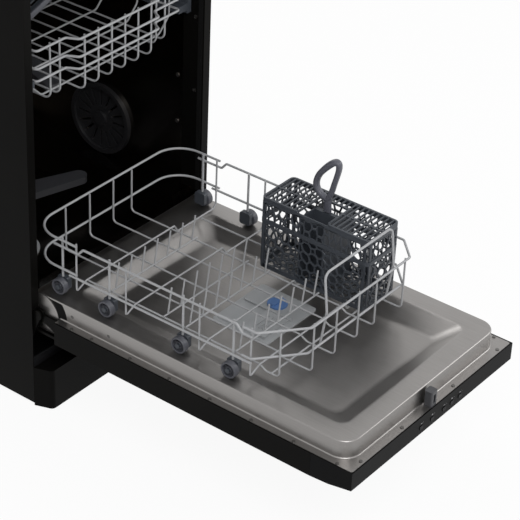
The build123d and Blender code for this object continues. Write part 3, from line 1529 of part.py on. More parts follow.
# Lid of the cutlery basket: two slotted grids joined along a hinge barrel, open round the handle
lid_plate = 3.0
lid_seat = 0.3
lid_notch_half = 28.0
lid_notch_reach = 60.0
lid_slot_width = 9.0
lid_slot_pitch = 15.0
lid_half_length = caddy_length / 2 - lid_notch_half
with BuildPart() as cutlery_lid:
    with BuildSketch(Plane.XY.offset(caddy_top + lid_seat)):
        with Locations((caddy_x, caddy_y)):
            RectangleRounded(caddy_width, caddy_length, caddy_corner)
        with Locations((caddy_left + lid_notch_reach / 2, handle_y)):
            Rectangle(lid_notch_reach + 1, 2 * lid_notch_half, mode=Mode.SUBTRACT)
        for grid_y in (
            (caddy_front + handle_y - lid_notch_half) / 2,
            (caddy_rear + handle_y + lid_notch_half) / 2,
        ):
            for grid_x in (caddy_x - caddy_width / 4, caddy_x + caddy_width / 4):
                with Locations((grid_x, grid_y)):
                    with GridLocations(1, lid_slot_pitch, 1, 4):
                        Rectangle(caddy_width / 2 - 9, lid_slot_width, mode=Mode.SUBTRACT)
    extrude(amount=lid_plate)
    with BuildSketch(facing(caddy_front + caddy_corner)):
        with Locations((-caddy_right, caddy_top + lid_seat + lid_plate / 2)):
            Circle(lid_plate / 2)
    extrude(amount=caddy_length - 2 * caddy_corner)
cutlery_lid.part.label = "cutlery_lid"
export_step(cutlery_lid.part, "parts/cutlery_lid.step")

# Upper basket: jogged front wires, side rails, cross and lengthwise wires
upper_front = 5.0
upper_jog = 25.0
upper_rear_space = 74.0
upper_rear = tub_rear - upper_rear_space
upper_levels = (633.0, 602.0, 581.0)
upper_top = upper_levels[0] + rail_radius
jog_inner = upper_half - 77.0
jog_outer = jog_inner + 11.0
cross_start_y = 45.0
cross_pitch = 70.0
cross_count = 6
cross_end_gap = 24.0
upper_cross_y = [cross_start_y + count * cross_pitch for count in range(cross_count)]
upper_cross_y.append(upper_rear - cross_end_gap)
long_pitch = 32.0
long_half_count = int((jog_inner - 15.0) / long_pitch + 0.5)
upper_long_x = [side * (count + 0.5) * long_pitch for side in sides.values() for count in range(long_half_count)]
upper_wing_x = [side * (upper_half - inset) for side in sides.values() for inset in (34.0, 56.0)]
upper_side_x = upper_half - rail_wire_step
upper_long_z = upper_floor - wire_step
rear_bar_y = upper_rear - rail_radius
rear_riser_y = rear_bar_y - wire_step
upper_wires = []
for level in upper_levels:
    upper_wires.append(
        rod(
            [
                (-upper_half, upper_rear, level),
                (-upper_half, upper_jog, level),
                (-jog_outer, upper_jog, level),
                (-jog_inner, upper_front, level),
                (jog_inner, upper_front, level),
                (jog_outer, upper_jog, level),
                (upper_half, upper_jog, level),
                (upper_half, upper_rear, level),
            ],
            rail_radius,
            6.0,
        )
    )
    bar_z = level - rail_wire_step
    rear_bar = [(-upper_half - rail_radius, rear_bar_y, bar_z), (upper_half + rail_radius, rear_bar_y, bar_z)]
    upper_wires.append(rod(rear_bar, wire_radius))
for y in upper_cross_y:
    upper_wires.append(
        rod(
            [
                (-upper_side_x, y, upper_top),
                (-upper_side_x, y, upper_floor + 26),
                (-upper_side_x + 26, y, upper_floor),
                (upper_side_x - 26, y, upper_floor),
                (upper_side_x, y, upper_floor + 26),
                (upper_side_x, y, upper_top),
            ],
            wire_radius,
            12.0,
        )
    )
for x in upper_long_x + upper_wing_x:
    front_y = (upper_front if abs(x) < jog_inner else upper_jog) + rail_wire_step
    upper_wires.append(
        rod(
            [
                (x, front_y, upper_top),
                (x, front_y, upper_long_z),
                (x, rear_riser_y, upper_long_z),
                (x, rear_riser_y, upper_top),
            ],
            wire_radius,
            14.0,
        )
    )
shelf_rod_x = -upper_half - 2.0
shelf_rod_z = 660.0
shelf_rod_front = 46.0
shelf_rod_rear = 330.0
shelf_post_y = (52.0, 190.0, 324.0)
shelf_rod_ends = [(shelf_rod_x, shelf_rod_front, shelf_rod_z), (shelf_rod_x, shelf_rod_rear, shelf_rod_z)]
upper_wires.append(rod(shelf_rod_ends, rail_radius))
for y in shelf_post_y:
    post_foot = (-upper_half, y, upper_top + seat_gap)
    post_head = (shelf_rod_x, y, shelf_rod_z - rail_radius - seat_gap)
    upper_wires.append(rod([post_foot, post_head], wire_radius))
with BuildPart() as upper_basket:
    add(upper_wires)
upper_basket.part.label = "upper_basket"
export_step(upper_basket.part, "parts/upper_basket.step")

# Cup shelf: a slotted plate on knuckles round the shelf rod, tilted up towards the middle
shelf_tilt = 20.0
shelf_width = 108.0
shelf_outboard = 10.0
shelf_plate = 2.6
shelf_knuckle = 5.0
shelf_bore = 2.3
shelf_spans = ((60.0, 180.0), (200.0, 314.0))
with BuildPart() as cup_shelf:
    for span_front, span_rear in shelf_spans:
        with BuildSketch(facing(span_front)):
            with Locations((-shelf_rod_x, shelf_rod_z)):
                Circle(shelf_knuckle)
        extrude(amount=span_rear - span_front)
    shelf_plane = Plane(
        origin=(shelf_rod_x, shelf_spans[0][0], shelf_rod_z + shelf_knuckle - 2 * shelf_plate),
        x_dir=(cos(radians(shelf_tilt)), 0, sin(radians(shelf_tilt))),
        z_dir=(-sin(radians(shelf_tilt)), 0, cos(radians(shelf_tilt))),
    )
    shelf_length = shelf_spans[1][1] - shelf_spans[0][0]
    with BuildSketch(shelf_plane.offset(shelf_knuckle - shelf_plate)):
        with Locations(((shelf_width - shelf_outboard) / 2, shelf_length / 2)):
            RectangleRounded(shelf_width + shelf_outboard, shelf_length, 6)
        with Locations((shelf_width / 2, shelf_length / 2)):
            with GridLocations(30, 14, 3, 17):
                Rectangle(24, 7, mode=Mode.SUBTRACT)
    extrude(amount=shelf_plate)
    with BuildSketch(facing(shelf_rod_front - 10)):
        with Locations((-shelf_rod_x, shelf_rod_z)):
            Circle(shelf_bore)
    extrude(amount=shelf_rod_rear, mode=Mode.SUBTRACT)
cup_shelf.part.label = "cup_shelf"
export_step(cup_shelf.part, "parts/cup_shelf.step")

# Feed tube under the floor of the upper basket, with the pin of the upper arm
upper_arm_y = 250.0
arm_hub_radius = 16.0
arm_pin_radius = 7.0
arm_hub_gap = 0.4
upper_arm_top = tube_top - tube_height - arm_hub_gap
upper_arm_bottom = 496.0
with BuildPart() as upper_feed_tube:
    with BuildSketch(Plane.XY.offset(tube_top)):
        with Locations((0, (upper_arm_y + tube_rear) / 2)):
            SlotOverall(tube_rear - upper_arm_y + 2 * tube_half, 2 * tube_half, rotation=90)
    extrude(amount=-tube_height)
    with BuildSketch(Plane.XY.offset(tube_top - tube_height)):
        with Locations((0, upper_arm_y)):
            Circle(arm_pin_radius)
    extrude(amount=upper_arm_bottom - tube_top + tube_height + 4)
upper_feed_tube.part.label = "upper_feed_tube"
export_step(upper_feed_tube.part, "parts/upper_feed_tube.step")


def arm_blade(reach, root_half, tip_half, turn, centre_y):
    """Plan of a two-ended spray arm, wide at the hub and round at the tips."""
    with BuildSketch(Plane.XY, mode=Mode.PRIVATE) as blade:
        for half_turn in (0, 180):
            along = Vector(0, 1).rotate(Axis.Z, turn + half_turn)
            aside = Vector(1, 0).rotate(Axis.Z, turn + half_turn)
            centre = Vector(0, centre_y)
            tip = centre + along * (reach - tip_half)
            with BuildLine():
                Polyline(
                    centre - aside * root_half,
                    centre + aside * root_half,
                    tip + aside * tip_half,
                    tip - aside * tip_half,
                    close=True,
                )
            make_face()
            with Locations(tip):
                Circle(tip_half)
    return blade.sketch


# Lower spray arm on the pillar of the sump
arm_turn = 70.0
arm_bowl_gap = 20.0
arm_reach = bowl_half - arm_bowl_gap
lower_arm_bottom = 197.0
lower_arm_top = 210.0
lower_hub_radius = 21.0
lower_hub_top = 216.0
with BuildPart() as lower_spray_arm:
    blade = arm_blade(arm_reach, 24.0, 15.0, arm_turn, arm_y)
    extrude(blade.moved(Location((0, 0, lower_arm_bottom))), amount=lower_arm_top - lower_arm_bottom)
    with BuildSketch(Plane.XY.offset(lower_arm_bottom)):
        with Locations((0, arm_y)):
            Circle(lower_hub_radius)
    extrude(amount=lower_hub_top - lower_arm_bottom)
    with BuildSketch(Plane.XY.offset(lower_arm_bottom)):
        with Locations((0, arm_y)):
            Circle(pillar_radius + filter_clearance)
    extrude(amount=pillar_top + seat_gap - lower_arm_bottom, mode=Mode.SUBTRACT)
lower_spray_arm.part.label = "lower_spray_arm"
export_step(lower_spray_arm.part, "parts/lower_spray_arm.step")

# Upper spray arm under the upper basket
upper_arm_turn = 160.0
upper_arm_inset = 7.0
upper_arm_reach = upper_half - upper_arm_inset
with BuildPart() as upper_spray_arm:
    blade = arm_blade(upper_arm_reach, 20.0, 15.0, upper_arm_turn, upper_arm_y)
    extrude(blade.moved(Location((0, 0, upper_arm_bottom))), amount=11)
    with BuildSketch(Plane.XY.offset(upper_arm_bottom)):
        with Locations((0, upper_arm_y)):
            Circle(arm_hub_radius)
    extrude(amount=upper_arm_top - upper_arm_bottom)
    with BuildSketch(Plane.XY.offset(upper_arm_bottom + 3)):
        with Locations((0, upper_arm_y)):
            Circle(arm_pin_radius + arm_hub_gap)
    extrude(amount=upper_arm_top, mode=Mode.SUBTRACT)
upper_spray_arm.part.label = "upper_spray_arm"
export_step(upper_spray_arm.part, "parts/upper_spray_arm.step")
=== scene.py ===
import json
import math

import bmesh
import bpy
from mathutils import Matrix, Vector


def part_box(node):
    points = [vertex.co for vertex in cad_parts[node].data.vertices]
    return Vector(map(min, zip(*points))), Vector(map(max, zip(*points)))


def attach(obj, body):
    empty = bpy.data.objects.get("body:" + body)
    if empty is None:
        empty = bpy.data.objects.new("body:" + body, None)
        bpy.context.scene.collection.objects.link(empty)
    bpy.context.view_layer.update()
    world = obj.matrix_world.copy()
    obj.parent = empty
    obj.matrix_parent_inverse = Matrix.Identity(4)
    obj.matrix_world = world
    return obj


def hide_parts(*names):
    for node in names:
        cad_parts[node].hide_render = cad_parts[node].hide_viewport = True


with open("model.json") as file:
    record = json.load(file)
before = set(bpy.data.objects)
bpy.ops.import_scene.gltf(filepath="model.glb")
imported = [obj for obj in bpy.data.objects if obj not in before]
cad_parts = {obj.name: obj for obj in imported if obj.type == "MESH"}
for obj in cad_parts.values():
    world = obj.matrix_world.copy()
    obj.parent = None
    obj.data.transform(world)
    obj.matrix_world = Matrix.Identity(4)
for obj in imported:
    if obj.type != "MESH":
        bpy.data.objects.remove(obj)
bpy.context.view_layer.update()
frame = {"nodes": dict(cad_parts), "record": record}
print("frame loaded")

mm = 0.001


# Shader maths: a socket that takes Python's operators
class Wire:
    def __init__(self, finish, socket):
        self.finish = finish
        self.socket = socket

    def math(self, operation, first, second):
        made = self.finish.node("ShaderNodeMath", {"operation": operation}, {0: first, 1: second})
        return Wire(self.finish, made.outputs[0])

    def __add__(self, other):
        return self.math("ADD", self, other)

    def __radd__(self, other):
        return self.math("ADD", other, self)

    def __mul__(self, other):
        return self.math("MULTIPLY", self, other)

    def __rmul__(self, other):
        return self.math("MULTIPLY", other, self)


class Finish:
    def __init__(self, name, roughness, metallic=0.0, specular=0.5):
        self.material = bpy.data.materials.new(name)
        self.material.use_nodes = True
        self.tree = self.material.node_tree
        self.shader = self.tree.nodes["Principled BSDF"]
        self.shader.inputs["Roughness"].default_value = roughness
        self.shader.inputs["Metallic"].default_value = metallic
        self.shader.inputs["Specular IOR Level"].default_value = specular
        self.place = self.node("ShaderNodeTexCoord").outputs["Object"]

    def node(self, kind, settings=None, inputs=None):
        made = self.tree.nodes.new(kind)
        for key, value in (settings or {}).items():
            setattr(made, key, value)
        for key, value in (inputs or {}).items():
            source = value.socket if isinstance(value, Wire) else value
            if isinstance(source, bpy.types.NodeSocket):
                self.tree.links.new(source, made.inputs[key])
            else:
                made.inputs[key].default_value = source
        return made

    def noise(self, scale, detail=3.0, stretch=(1.0, 1.0, 1.0)):
        placed = self.node("ShaderNodeMapping", None, {"Vector": self.place, "Scale": stretch})
        inputs = {"Vector": placed.outputs[0], "Scale": scale, "Detail": detail}
        return Wire(self, self.node("ShaderNodeTexNoise", None, inputs).outputs["Fac"])

    def cells(self, scale):
        made = self.node("ShaderNodeTexVoronoi", None, {"Vector": self.place, "Scale": scale})
        return Wire(self, made.outputs["Color"])

    def colour(self, low, high, mask):
        inputs = {0: mask, 6: (*low, 1.0), 7: (*high, 1.0)}
        mixed = self.node("ShaderNodeMix", {"data_type": "RGBA"}, inputs)
        self.tree.links.new(mixed.outputs[2], self.shader.inputs["Base Color"])

    def roughness(self, value):
        self.tree.links.new(value.socket, self.shader.inputs["Roughness"])

    def bump(self, height, strength, distance):
        inputs = {"Height": height, "Strength": strength, "Distance": distance}
        raised = self.node("ShaderNodeBump", None, inputs)
        self.tree.links.new(raised.outputs[0], self.shader.inputs["Normal"])


def enamel(name, dark, light, roughness):  # sprayed paint with a faint orange peel
    finish = Finish(name, roughness, specular=0.035)
    peel = finish.noise(420.0, 2.0)
    cloud = finish.noise(5.0, 4.0)
    finish.colour(dark, light, cloud)
    finish.roughness(cloud * 0.12 + (roughness - 0.06))
    finish.bump(peel, 0.05, 0.0004)
    return finish.material


# Plastic from a spark-eroded mould
def moulded(name, dark, light, roughness, grain=900.0, depth=0.12, specular=0.4):
    finish = Finish(name, roughness, specular=specular)
    fine = finish.noise(grain, 2.0)
    cloud = finish.noise(9.0, 3.0)
    finish.colour(dark, light, cloud * 0.7 + fine * 0.3)
    finish.roughness(cloud * 0.15 + (roughness - 0.07))
    finish.bump(fine, depth, 0.0003)
    return finish.material


def brushed(name, dark, light, roughness, stretch):  # rolled sheet with its grain one way
    finish = Finish(name, roughness, metallic=1.0)
    grain = finish.noise(60.0, 4.0, stretch)
    smear = finish.noise(4.0, 3.0)
    finish.colour(dark, light, grain * 0.5 + smear * 0.5)
    finish.roughness(grain * 0.14 + smear * 0.1 + (roughness - 0.12))
    finish.bump(grain, 0.03, 0.0002)
    return finish.material


def zincCoat(name):  # hot-dipped sheet with its spangle
    finish = Finish(name, 0.45, metallic=0.85)
    spangle = finish.cells(90.0)
    finish.colour((0.34, 0.35, 0.36), (0.58, 0.59, 0.6), spangle)
    finish.roughness(spangle * 0.2 + 0.36)
    return finish.material


acrossDoor = (12.0, 0.4, 12.0)
acrossTub = (0.4, 12.0, 12.0)
evenly = (4.0, 4.0, 4.0)
materials = {
    "black_paint": enamel("blackPaint", (0.0025, 0.0024, 0.0023), (0.005, 0.0047, 0.0042), 0.3),
    "black_plastic": moulded(
        "blackPlastic", (0.003, 0.003, 0.0032), (0.006, 0.006, 0.0062), 0.34,
        grain=1400.0, depth=0.05, specular=0.04,
    ),
    "black_rubber": moulded(
        "blackRubber", (0.004, 0.004, 0.004), (0.01, 0.01, 0.01), 0.8,
        grain=700.0, depth=0.2, specular=0.06,
    ),
    "galvanised_steel": zincCoat("zincSheet"),
    "grey_plastic": moulded("greyPlastic", (0.28, 0.29, 0.3), (0.36, 0.37, 0.38), 0.45),
    "dark_grey_plastic": moulded(
        "slateGrid", (0.030, 0.035, 0.043), (0.055, 0.062, 0.074), 0.42, specular=0.35
    ),
    "slate_plastic": moulded("slatePlastic", (0.048, 0.050, 0.060), (0.080, 0.083, 0.098), 0.4),
    "stainless": brushed("stainlessSheet", (0.207, 0.199, 0.193), (0.35, 0.337, 0.327), 0.36, acrossDoor),
    "wire_coat": moulded("nylonCoat", (0.27, 0.275, 0.285), (0.39, 0.395, 0.405), 0.38, 1100.0, 0.15),
    "blue_plastic": moulded("bluePlastic", (0.07, 0.15, 0.34), (0.12, 0.22, 0.45), 0.4),
    "board_green": moulded("boardLacquer", (0.02, 0.14, 0.06), (0.04, 0.22, 0.1), 0.35),
    "button_black": moulded(
        "buttonBlack", (0.006, 0.006, 0.0065), (0.011, 0.011, 0.012), 0.3,
        grain=1400.0, depth=0.03, specular=0.08,
    ),
    "foot_plastic": moulded("footPlastic", (0.018, 0.018, 0.018), (0.04, 0.04, 0.04), 0.6),
}

# Pieces whose finish differs from that of their slot
# Steel of the tub and its rails: base colour darkened far below bare stainless and warmed to brown, as
# painted shade and painted dark reflections inside the tub
tubSteelPaintedShade = brushed("tubSteelPaintedShade", (0.080, 0.071, 0.063), (0.190, 0.172, 0.155), 0.2, acrossTub)
ventPlastic = moulded("ventPlastic", (0.010, 0.010, 0.011), (0.022, 0.022, 0.024), 0.3)
shadePlastic = moulded("shadePlastic", (0.030, 0.031, 0.035), (0.055, 0.056, 0.062), 0.4)
dullSteel = brushed("dullSteel", (0.10, 0.098, 0.095), (0.20, 0.195, 0.19), 0.4, evenly)
ownFinish = {
    "tub": tubSteelPaintedShade, "upper_rails": tubSteelPaintedShade, "vent_cap": ventPlastic, "liner_screws": dullSteel,
    "feed_pipe": ventPlastic, "sump": ventPlastic, "upper_feed_tube": ventPlastic, "base_tray": ventPlastic,
    "lower_spray_arm": shadePlastic, "upper_spray_arm": shadePlastic, "door_strike": shadePlastic,
    "hinge_arms": materials["black_paint"], "hinge_brackets": materials["black_paint"],
}
for row in frame["record"]["subparts"]:
    node = frame["nodes"][row["node"]]
    node.data.materials.clear()
    node.data.materials.append(ownFinish.get(row["node"], materials[row["material_slot"]]))
print("finishes on the frame's pieces")


# Meshes are drawn in millimetres and set in the frame in metres
mergeGap = 0.001


def boxOf(node):
    return [[round(value / mm, 3) for value in corner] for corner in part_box(node)]


def faceOutwards(shape, gap=mergeGap):
    bmesh.ops.remove_doubles(shape, verts=shape.verts, dist=gap)
    bmesh.ops.recalc_face_normals(shape, faces=shape.faces)


def finishPiece(name, shape, slotName, body, replaced=(), material=None, sharpAngle=35.0):
    bmesh.ops.remove_doubles(shape, verts=shape.verts, dist=mergeGap)
    mesh = bpy.data.meshes.new(name)
    shape.to_mesh(mesh)
    shape.free()
    mesh.transform(Matrix.Scale(mm, 4))
    for polygon in mesh.polygons:
        polygon.use_smooth = True
    mesh.set_sharp_from_angle(angle=math.radians(sharpAngle))
    piece = bpy.data.objects.new(name, mesh)
    bpy.context.scene.collection.objects.link(piece)
    mesh.materials.append(material or materials[slotName])
    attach(piece, body)
    if replaced:
        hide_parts(*replaced)


def loft(shape, rings, closed):
    rows = [[shape.verts.new(point) for point in ring] for ring in rings]
    for lower, upper in zip(rows, rows[1:]):
        count = len(lower)
        for index in range(count if closed else count - 1):
            after = (index + 1) % count
            corners = [lower[index], lower[after], upper[after], upper[index]]
            if len({tuple(round(value, 4) for value in corner.co) for corner in corners}) > 2:
                shape.faces.new(corners)
    return rows


def solidLoft(shape, rings):  # closed rings joined one to the next, with both ends filled
    rows = loft(shape, rings, True)
    shape.faces.new(rows[0])
    shape.faces.new(rows[-1][::-1])


sharpCorner = 0.001


def roundedLoop(half, front, rear, frontCorner, rearCorner, steps=8):
    points = []
    corners = (
        (-half, rear, rearCorner, 90.0),
        (-half, front, frontCorner, 180.0),
        (half, front, frontCorner, 270.0),
        (half, rear, rearCorner, 0.0),
    )
    for x, y, radius, startAngle in corners:
        centreX = x + (radius if x < 0 else -radius)
        centreY = y + (radius if y == front else -radius)
        for step in range(steps + 1):
            angle = math.radians(startAngle + 90.0 * step / steps)
            points.append((centreX + radius * math.cos(angle), centreY + radius * math.sin(angle)))
    return points


# Door liner: pressed sheet with a rim, a sloping recess and the roll about the hinge
linerLow, linerHigh = boxOf("door_liner")
linerSize = {
    "pivotY": -6.6, "pivotZ": 182.4, "roll": 36.2, "rollSteps": 24, "footZ": linerLow[2],
    "shelf": linerHigh[2], "flange": 187.0, "floor": 197.0,
    "rimHalf": 205.6, "rimFront": -622.0, "rimCorner": 30.0,
    "flangeHalf": linerHigh[0], "flangeFront": linerLow[1], "flangeRear": -47.0, "flangeCorner": 4.0,
    "recessHalf": 167.0, "recessFront": -584.0, "recessRear": -52.0,
    "recessCorner": 18.0, "recessRun": 34.0,
    "fold": 2.4, "foldSteps": 4, "sheet": 1.0,
    "holeX": 10.0, "holeY": -298.0, "holeHalfX": 60.0, "holeHalfY": 50.0, "holeCorner": 2.0,
    # Inset and drop at the top of the recess's slope, then run and rise at its foot
    "lip": ((-5.0, 0.0), (-2.0, 0.25), (0.0, 1.0), (2.0, 2.1)),
    "heel": ((-5.0, 3.0), (-1.0, 1.0), (3.0, 0.25), (8.0, 0.0)),
}


def openLoop(half, front, rear, corner):  # front and sides only, with the front's two rounded corners
    loop = roundedLoop(half, front, rear, corner, sharpCorner)
    perCorner = len(loop) // 4
    return loop[perCorner - 1 : 3 * perCorner + 1]


def makeLiner():
    size = linerSize
    shape = bmesh.new()
    folds = []
    for step in range(size["foldSteps"] + 1):
        angle = math.radians(90.0 * step / size["foldSteps"])
        folds.append((size["fold"] * (1 - math.sin(angle)), size["fold"] * (1 - math.cos(angle))))

    def rimU(inset, rear):
        return openLoop(size["rimHalf"] - inset, size["rimFront"] + inset, rear, size["rimCorner"] - inset)

    walls = []
    for inset, drop in folds:
        walls.append([(x, y, size["shelf"] - drop) for x, y in rimU(inset, size["pivotY"])])
    foot = size["flange"]
    walls.append([(x, y, foot + size["fold"]) for x, y in rimU(0.0, size["pivotY"])])
    loft(shape, walls, False)

    base = []
    for inset, drop in reversed(folds):
        base.append([(x, y, foot + drop) for x, y in rimU(-inset, size["flangeRear"])])
    edge = openLoop(size["flangeHalf"], size["flangeFront"], size["flangeRear"], size["flangeCorner"])
    base.append([(x, y, foot) for x, y in edge])
    base.append([(x, y, foot - size["sheet"]) for x, y in edge])
    loft(shape, base, False)

    # The shelf of the rim, from its outer fold to the recess, then down to the floor and its hole
    top = roundedLoop(
        size["rimHalf"] - size["fold"],
        size["rimFront"] + size["fold"],
        size["pivotY"],
        size["rimCorner"] - size["fold"],
        sharpCorner,
    )
    depth = size["shelf"] - size["floor"]
    slope = list(size["lip"])
    slope += [(size["recessRun"] + run, depth - rise) for run, rise in size["heel"]]
    rings = [[(x, y, size["shelf"]) for x, y in top]]
    for inset, drop in slope:
        loop = roundedLoop(
            size["recessHalf"] - inset,
            size["recessFront"] + inset,
            size["recessRear"] - inset,
            size["recessCorner"],
            size["recessCorner"],
        )
        rings.append([(x, y, size["shelf"] - drop) for x, y in loop])
    holeFront = size["holeY"] - size["holeHalfY"]
    holeRear = size["holeY"] + size["holeHalfY"]
    hole = roundedLoop(size["holeHalfX"], holeFront, holeRear, size["holeCorner"], size["holeCorner"])
    rings.append([(x + size["holeX"], y, size["floor"]) for x, y in hole])
    loft(shape, rings, True)

    # The roll, with the same fold at its two ends
    arcs = []
    sideFolds = [(size["rimHalf"] - inset, drop) for inset, drop in folds]
    startAngle = math.pi / 2
    for x, drop in [(-x, drop) for x, drop in reversed(sideFolds)] + sideFolds:
        radius = size["roll"] - drop
        endAngle = -math.asin(min(1.0, (size["pivotZ"] - size["footZ"]) / radius))
        arc = []
        for step in range(size["rollSteps"] + 1):
            angle = startAngle + (endAngle - startAngle) * step / size["rollSteps"]
            y = size["pivotY"] + radius * math.cos(angle)
            arc.append((x, y, size["pivotZ"] + radius * math.sin(angle)))
        arcs.append(arc)
    loft(shape, arcs, False)
    rear = size["flangeRear"]
    for arc in (arcs[0], arcs[-1]):
        x = arc[0][0]
        outline = arc + [(x, rear, size["footZ"]), (x, rear, foot + size["fold"])]
        shape.faces.new([shape.verts.new(point) for point in outline])
    faceOutwards(shape, 10 * mergeGap)

    # An open sheet has no inside, so the shelf tells which way is up
    nearTop = size["shelf"] - size["fold"] / 4
    shelfFaces = [face for face in shape.faces if face.calc_center_median().z > nearTop]
    if sum(face.normal.z * face.calc_area() for face in shelfFaces) < 0:
        bmesh.ops.reverse_faces(shape, faces=shape.faces)
    finishPiece("doorLiner", shape, "stainless", "door", ["door_liner"], sharpAngle=50.0)


makeLiner()
print("liner")


# Wheels: a ring, a recessed face, a hub and four spokes, as one template for all eight
wheelSize = {
    "pairs": 4, "axleZ": 233.1, "radius": 14.3, "width": 11.0, "steps": 48,
    "spokes": 4, "spokeTurn": 0.4, "spokeSize": (2.4, 1.4, 4.8), "spokeOut": 4.2, "spokeRadius": 8.4,
    # Radius and distance from the inner face, round the wheel's section
    "section": (
        (3.4, 0.0), (13.3, 0.0), (14.1, 0.5), (14.3, 1.2), (14.3, 9.6), (14.1, 10.4), (13.6, 10.9),
        (13.0, 11.0), (11.8, 11.0), (11.3, 10.7), (11.0, 10.0), (10.6, 3.8), (10.1, 3.3), (6.8, 3.3),
        (6.3, 3.6), (6.0, 4.4), (5.6, 8.2), (5.2, 8.8), (4.2, 8.8), (3.7, 8.4), (3.4, 7.6), (3.4, 0.0),
    ),
}


def addWheel(shape, side, inner, y):
    size = wheelSize
    rings = []
    for step in range(size["steps"]):
        turn = 2 * math.pi * step / size["steps"]
        rings.append([
            (side * (inner + out), y + radius * math.cos(turn), size["axleZ"] + radius * math.sin(turn))
            for radius, out in size["section"]
        ])
    rings.append(rings[0])
    loft(shape, rings, False)
    hub = Matrix.Translation((side * (inner + size["spokeOut"]), y, size["axleZ"]))
    reach = Matrix.Translation((0, 0, size["spokeRadius"])) @ Matrix.Diagonal((*size["spokeSize"], 1.0))
    for spoke in range(size["spokes"]):
        turn = Matrix.Rotation(2 * math.pi * spoke / size["spokes"] + size["spokeTurn"], 4, "X")
        box = bmesh.ops.create_cube(shape, size=1.0)["verts"]
        bmesh.ops.transform(shape, matrix=hub @ turn @ reach, verts=box)


def makeWheels():
    for count in range(1, wheelSize["pairs"] + 1):
        node = f"wheel_pair_{count}"
        high = boxOf(node)[1]
        shape = bmesh.new()
        for side in (-1, 1):
            addWheel(shape, side, high[0] - wheelSize["width"], high[1] - wheelSize["radius"])
        faceOutwards(shape)
        finishPiece(f"wheelPair{count}", shape, "slate_plastic", node, [node])


makeWheels()
print("wheels")


# Lattice: one Geometry Nodes tree that turns a flat wall into an irregular net of ribs
def latticeTree():
    tree = bpy.data.node_groups.new("ribNet", "GeometryNodeTree")
    made = tree.interface.new_socket
    made("Geometry", in_out="INPUT", socket_type="NodeSocketGeometry")
    floats = {"Length": 0.2, "Height": 0.08, "Cell": 0.01, "Rib": 0.8, "Depth": 0.002, "Jitter": 0.3}
    for label, value in floats.items():
        made(label, in_out="INPUT", socket_type="NodeSocketFloat").default_value = value
    made("Seed", in_out="INPUT", socket_type="NodeSocketInt").default_value = 1
    made("Finish", in_out="INPUT", socket_type="NodeSocketMaterial")
    made("Geometry", in_out="OUTPUT", socket_type="NodeSocketGeometry")
    nodes, links = tree.nodes, tree.links

    def add(kind, settings=None, inputs=None):
        item = nodes.new(kind)
        for key, value in (settings or {}).items():
            setattr(item, key, value)
        for key, value in (inputs or {}).items():
            if isinstance(value, bpy.types.NodeSocket):
                links.new(value, item.inputs[key])
            else:
                item.inputs[key].default_value = value
        return item

    entry = add("NodeGroupInput").outputs
    across = add("ShaderNodeMath", {"operation": "DIVIDE"}, {0: entry["Length"], 1: entry["Cell"]})
    upward = add("ShaderNodeMath", {"operation": "DIVIDE"}, {0: entry["Height"], 1: entry["Cell"]})
    grid = add("GeometryNodeMeshGrid", None, {
        "Size X": entry["Length"], "Size Y": entry["Height"],
        "Vertices X": across.outputs[0], "Vertices Y": upward.outputs[0],
    })
    spread = add("ShaderNodeMath", {"operation": "MULTIPLY"}, {0: entry["Cell"], 1: entry["Jitter"]})
    back = add("ShaderNodeMath", {"operation": "MULTIPLY"}, {0: spread.outputs[0], 1: -1.0})
    highest = add("ShaderNodeCombineXYZ", None, {0: spread.outputs[0], 1: spread.outputs[0]})
    lowest = add("ShaderNodeCombineXYZ", None, {0: back.outputs[0], 1: back.outputs[0]})
    shift = add("FunctionNodeRandomValue", {"data_type": "FLOAT_VECTOR"}, {
        0: lowest.outputs[0], 1: highest.outputs[0], "Seed": entry["Seed"],
    })
    moved = add("GeometryNodeSetPosition", None, {"Geometry": grid.outputs[0], "Offset": shift.outputs[0]})
    split = add("GeometryNodeTriangulate", None, {"Mesh": moved.outputs[0]})
    dual = add("GeometryNodeDualMesh", {}, {"Mesh": split.outputs[0], "Keep Boundaries": True})
    inner = add("GeometryNodeExtrudeMesh", {"mode": "FACES"}, {
        "Mesh": dual.outputs[0], "Offset Scale": 0.0, "Individual": True,
    })
    shrunk = add("GeometryNodeScaleElements", {"domain": "FACE"}, {
        "Geometry": inner.outputs[0], "Selection": inner.outputs["Top"], "Scale": entry["Rib"],
    })
    holed = add("GeometryNodeDeleteGeometry", {"domain": "FACE"}, {
        "Geometry": shrunk.outputs[0], "Selection": inner.outputs["Top"],
    })
    weldGap = 0.00002
    weld = add("GeometryNodeMergeByDistance", None, {"Geometry": holed.outputs[0], "Distance": weldGap})
    thick = add("GeometryNodeExtrudeMesh", {"mode": "FACES"}, {
        "Mesh": weld.outputs[0], "Offset Scale": entry["Depth"], "Individual": False,
    })
    underside = add("GeometryNodeFlipFaces", None, {"Mesh": weld.outputs[0]})
    both = add("GeometryNodeJoinGeometry")
    links.new(thick.outputs[0], both.inputs[0])
    links.new(underside.outputs[0], both.inputs[0])
    closed = add("GeometryNodeMergeByDistance", None, {"Geometry": both.outputs[0], "Distance": weldGap})
    real = add("GeometryNodeRealizeInstances", None, {"Geometry": closed.outputs[0]})
    dressed = add("GeometryNodeSetMaterial", None, {
        "Geometry": real.outputs[0], "Material": entry["Finish"],
    })
    leave = add("NodeGroupOutput")
    links.new(dressed.outputs[0], leave.inputs[0])
    return tree


netTree = latticeTree()


def bakeTree(tree, values):
    holder = bpy.data.objects.new("holder", bpy.data.meshes.new("holder"))
    bpy.context.scene.collection.objects.link(holder)
    modifier = holder.modifiers.new("net", "NODES")
    modifier.node_group = tree
    for item in tree.interface.items_tree:
        if item.item_type == "SOCKET" and item.in_out == "INPUT" and item.name in values:
            modifier[item.identifier] = values[item.name]
    bpy.context.view_layer.update()
    baked = bpy.data.meshes.new_from_object(holder.evaluated_get(bpy.context.evaluated_depsgraph_get()))
    bpy.data.objects.remove(holder)
    return baked


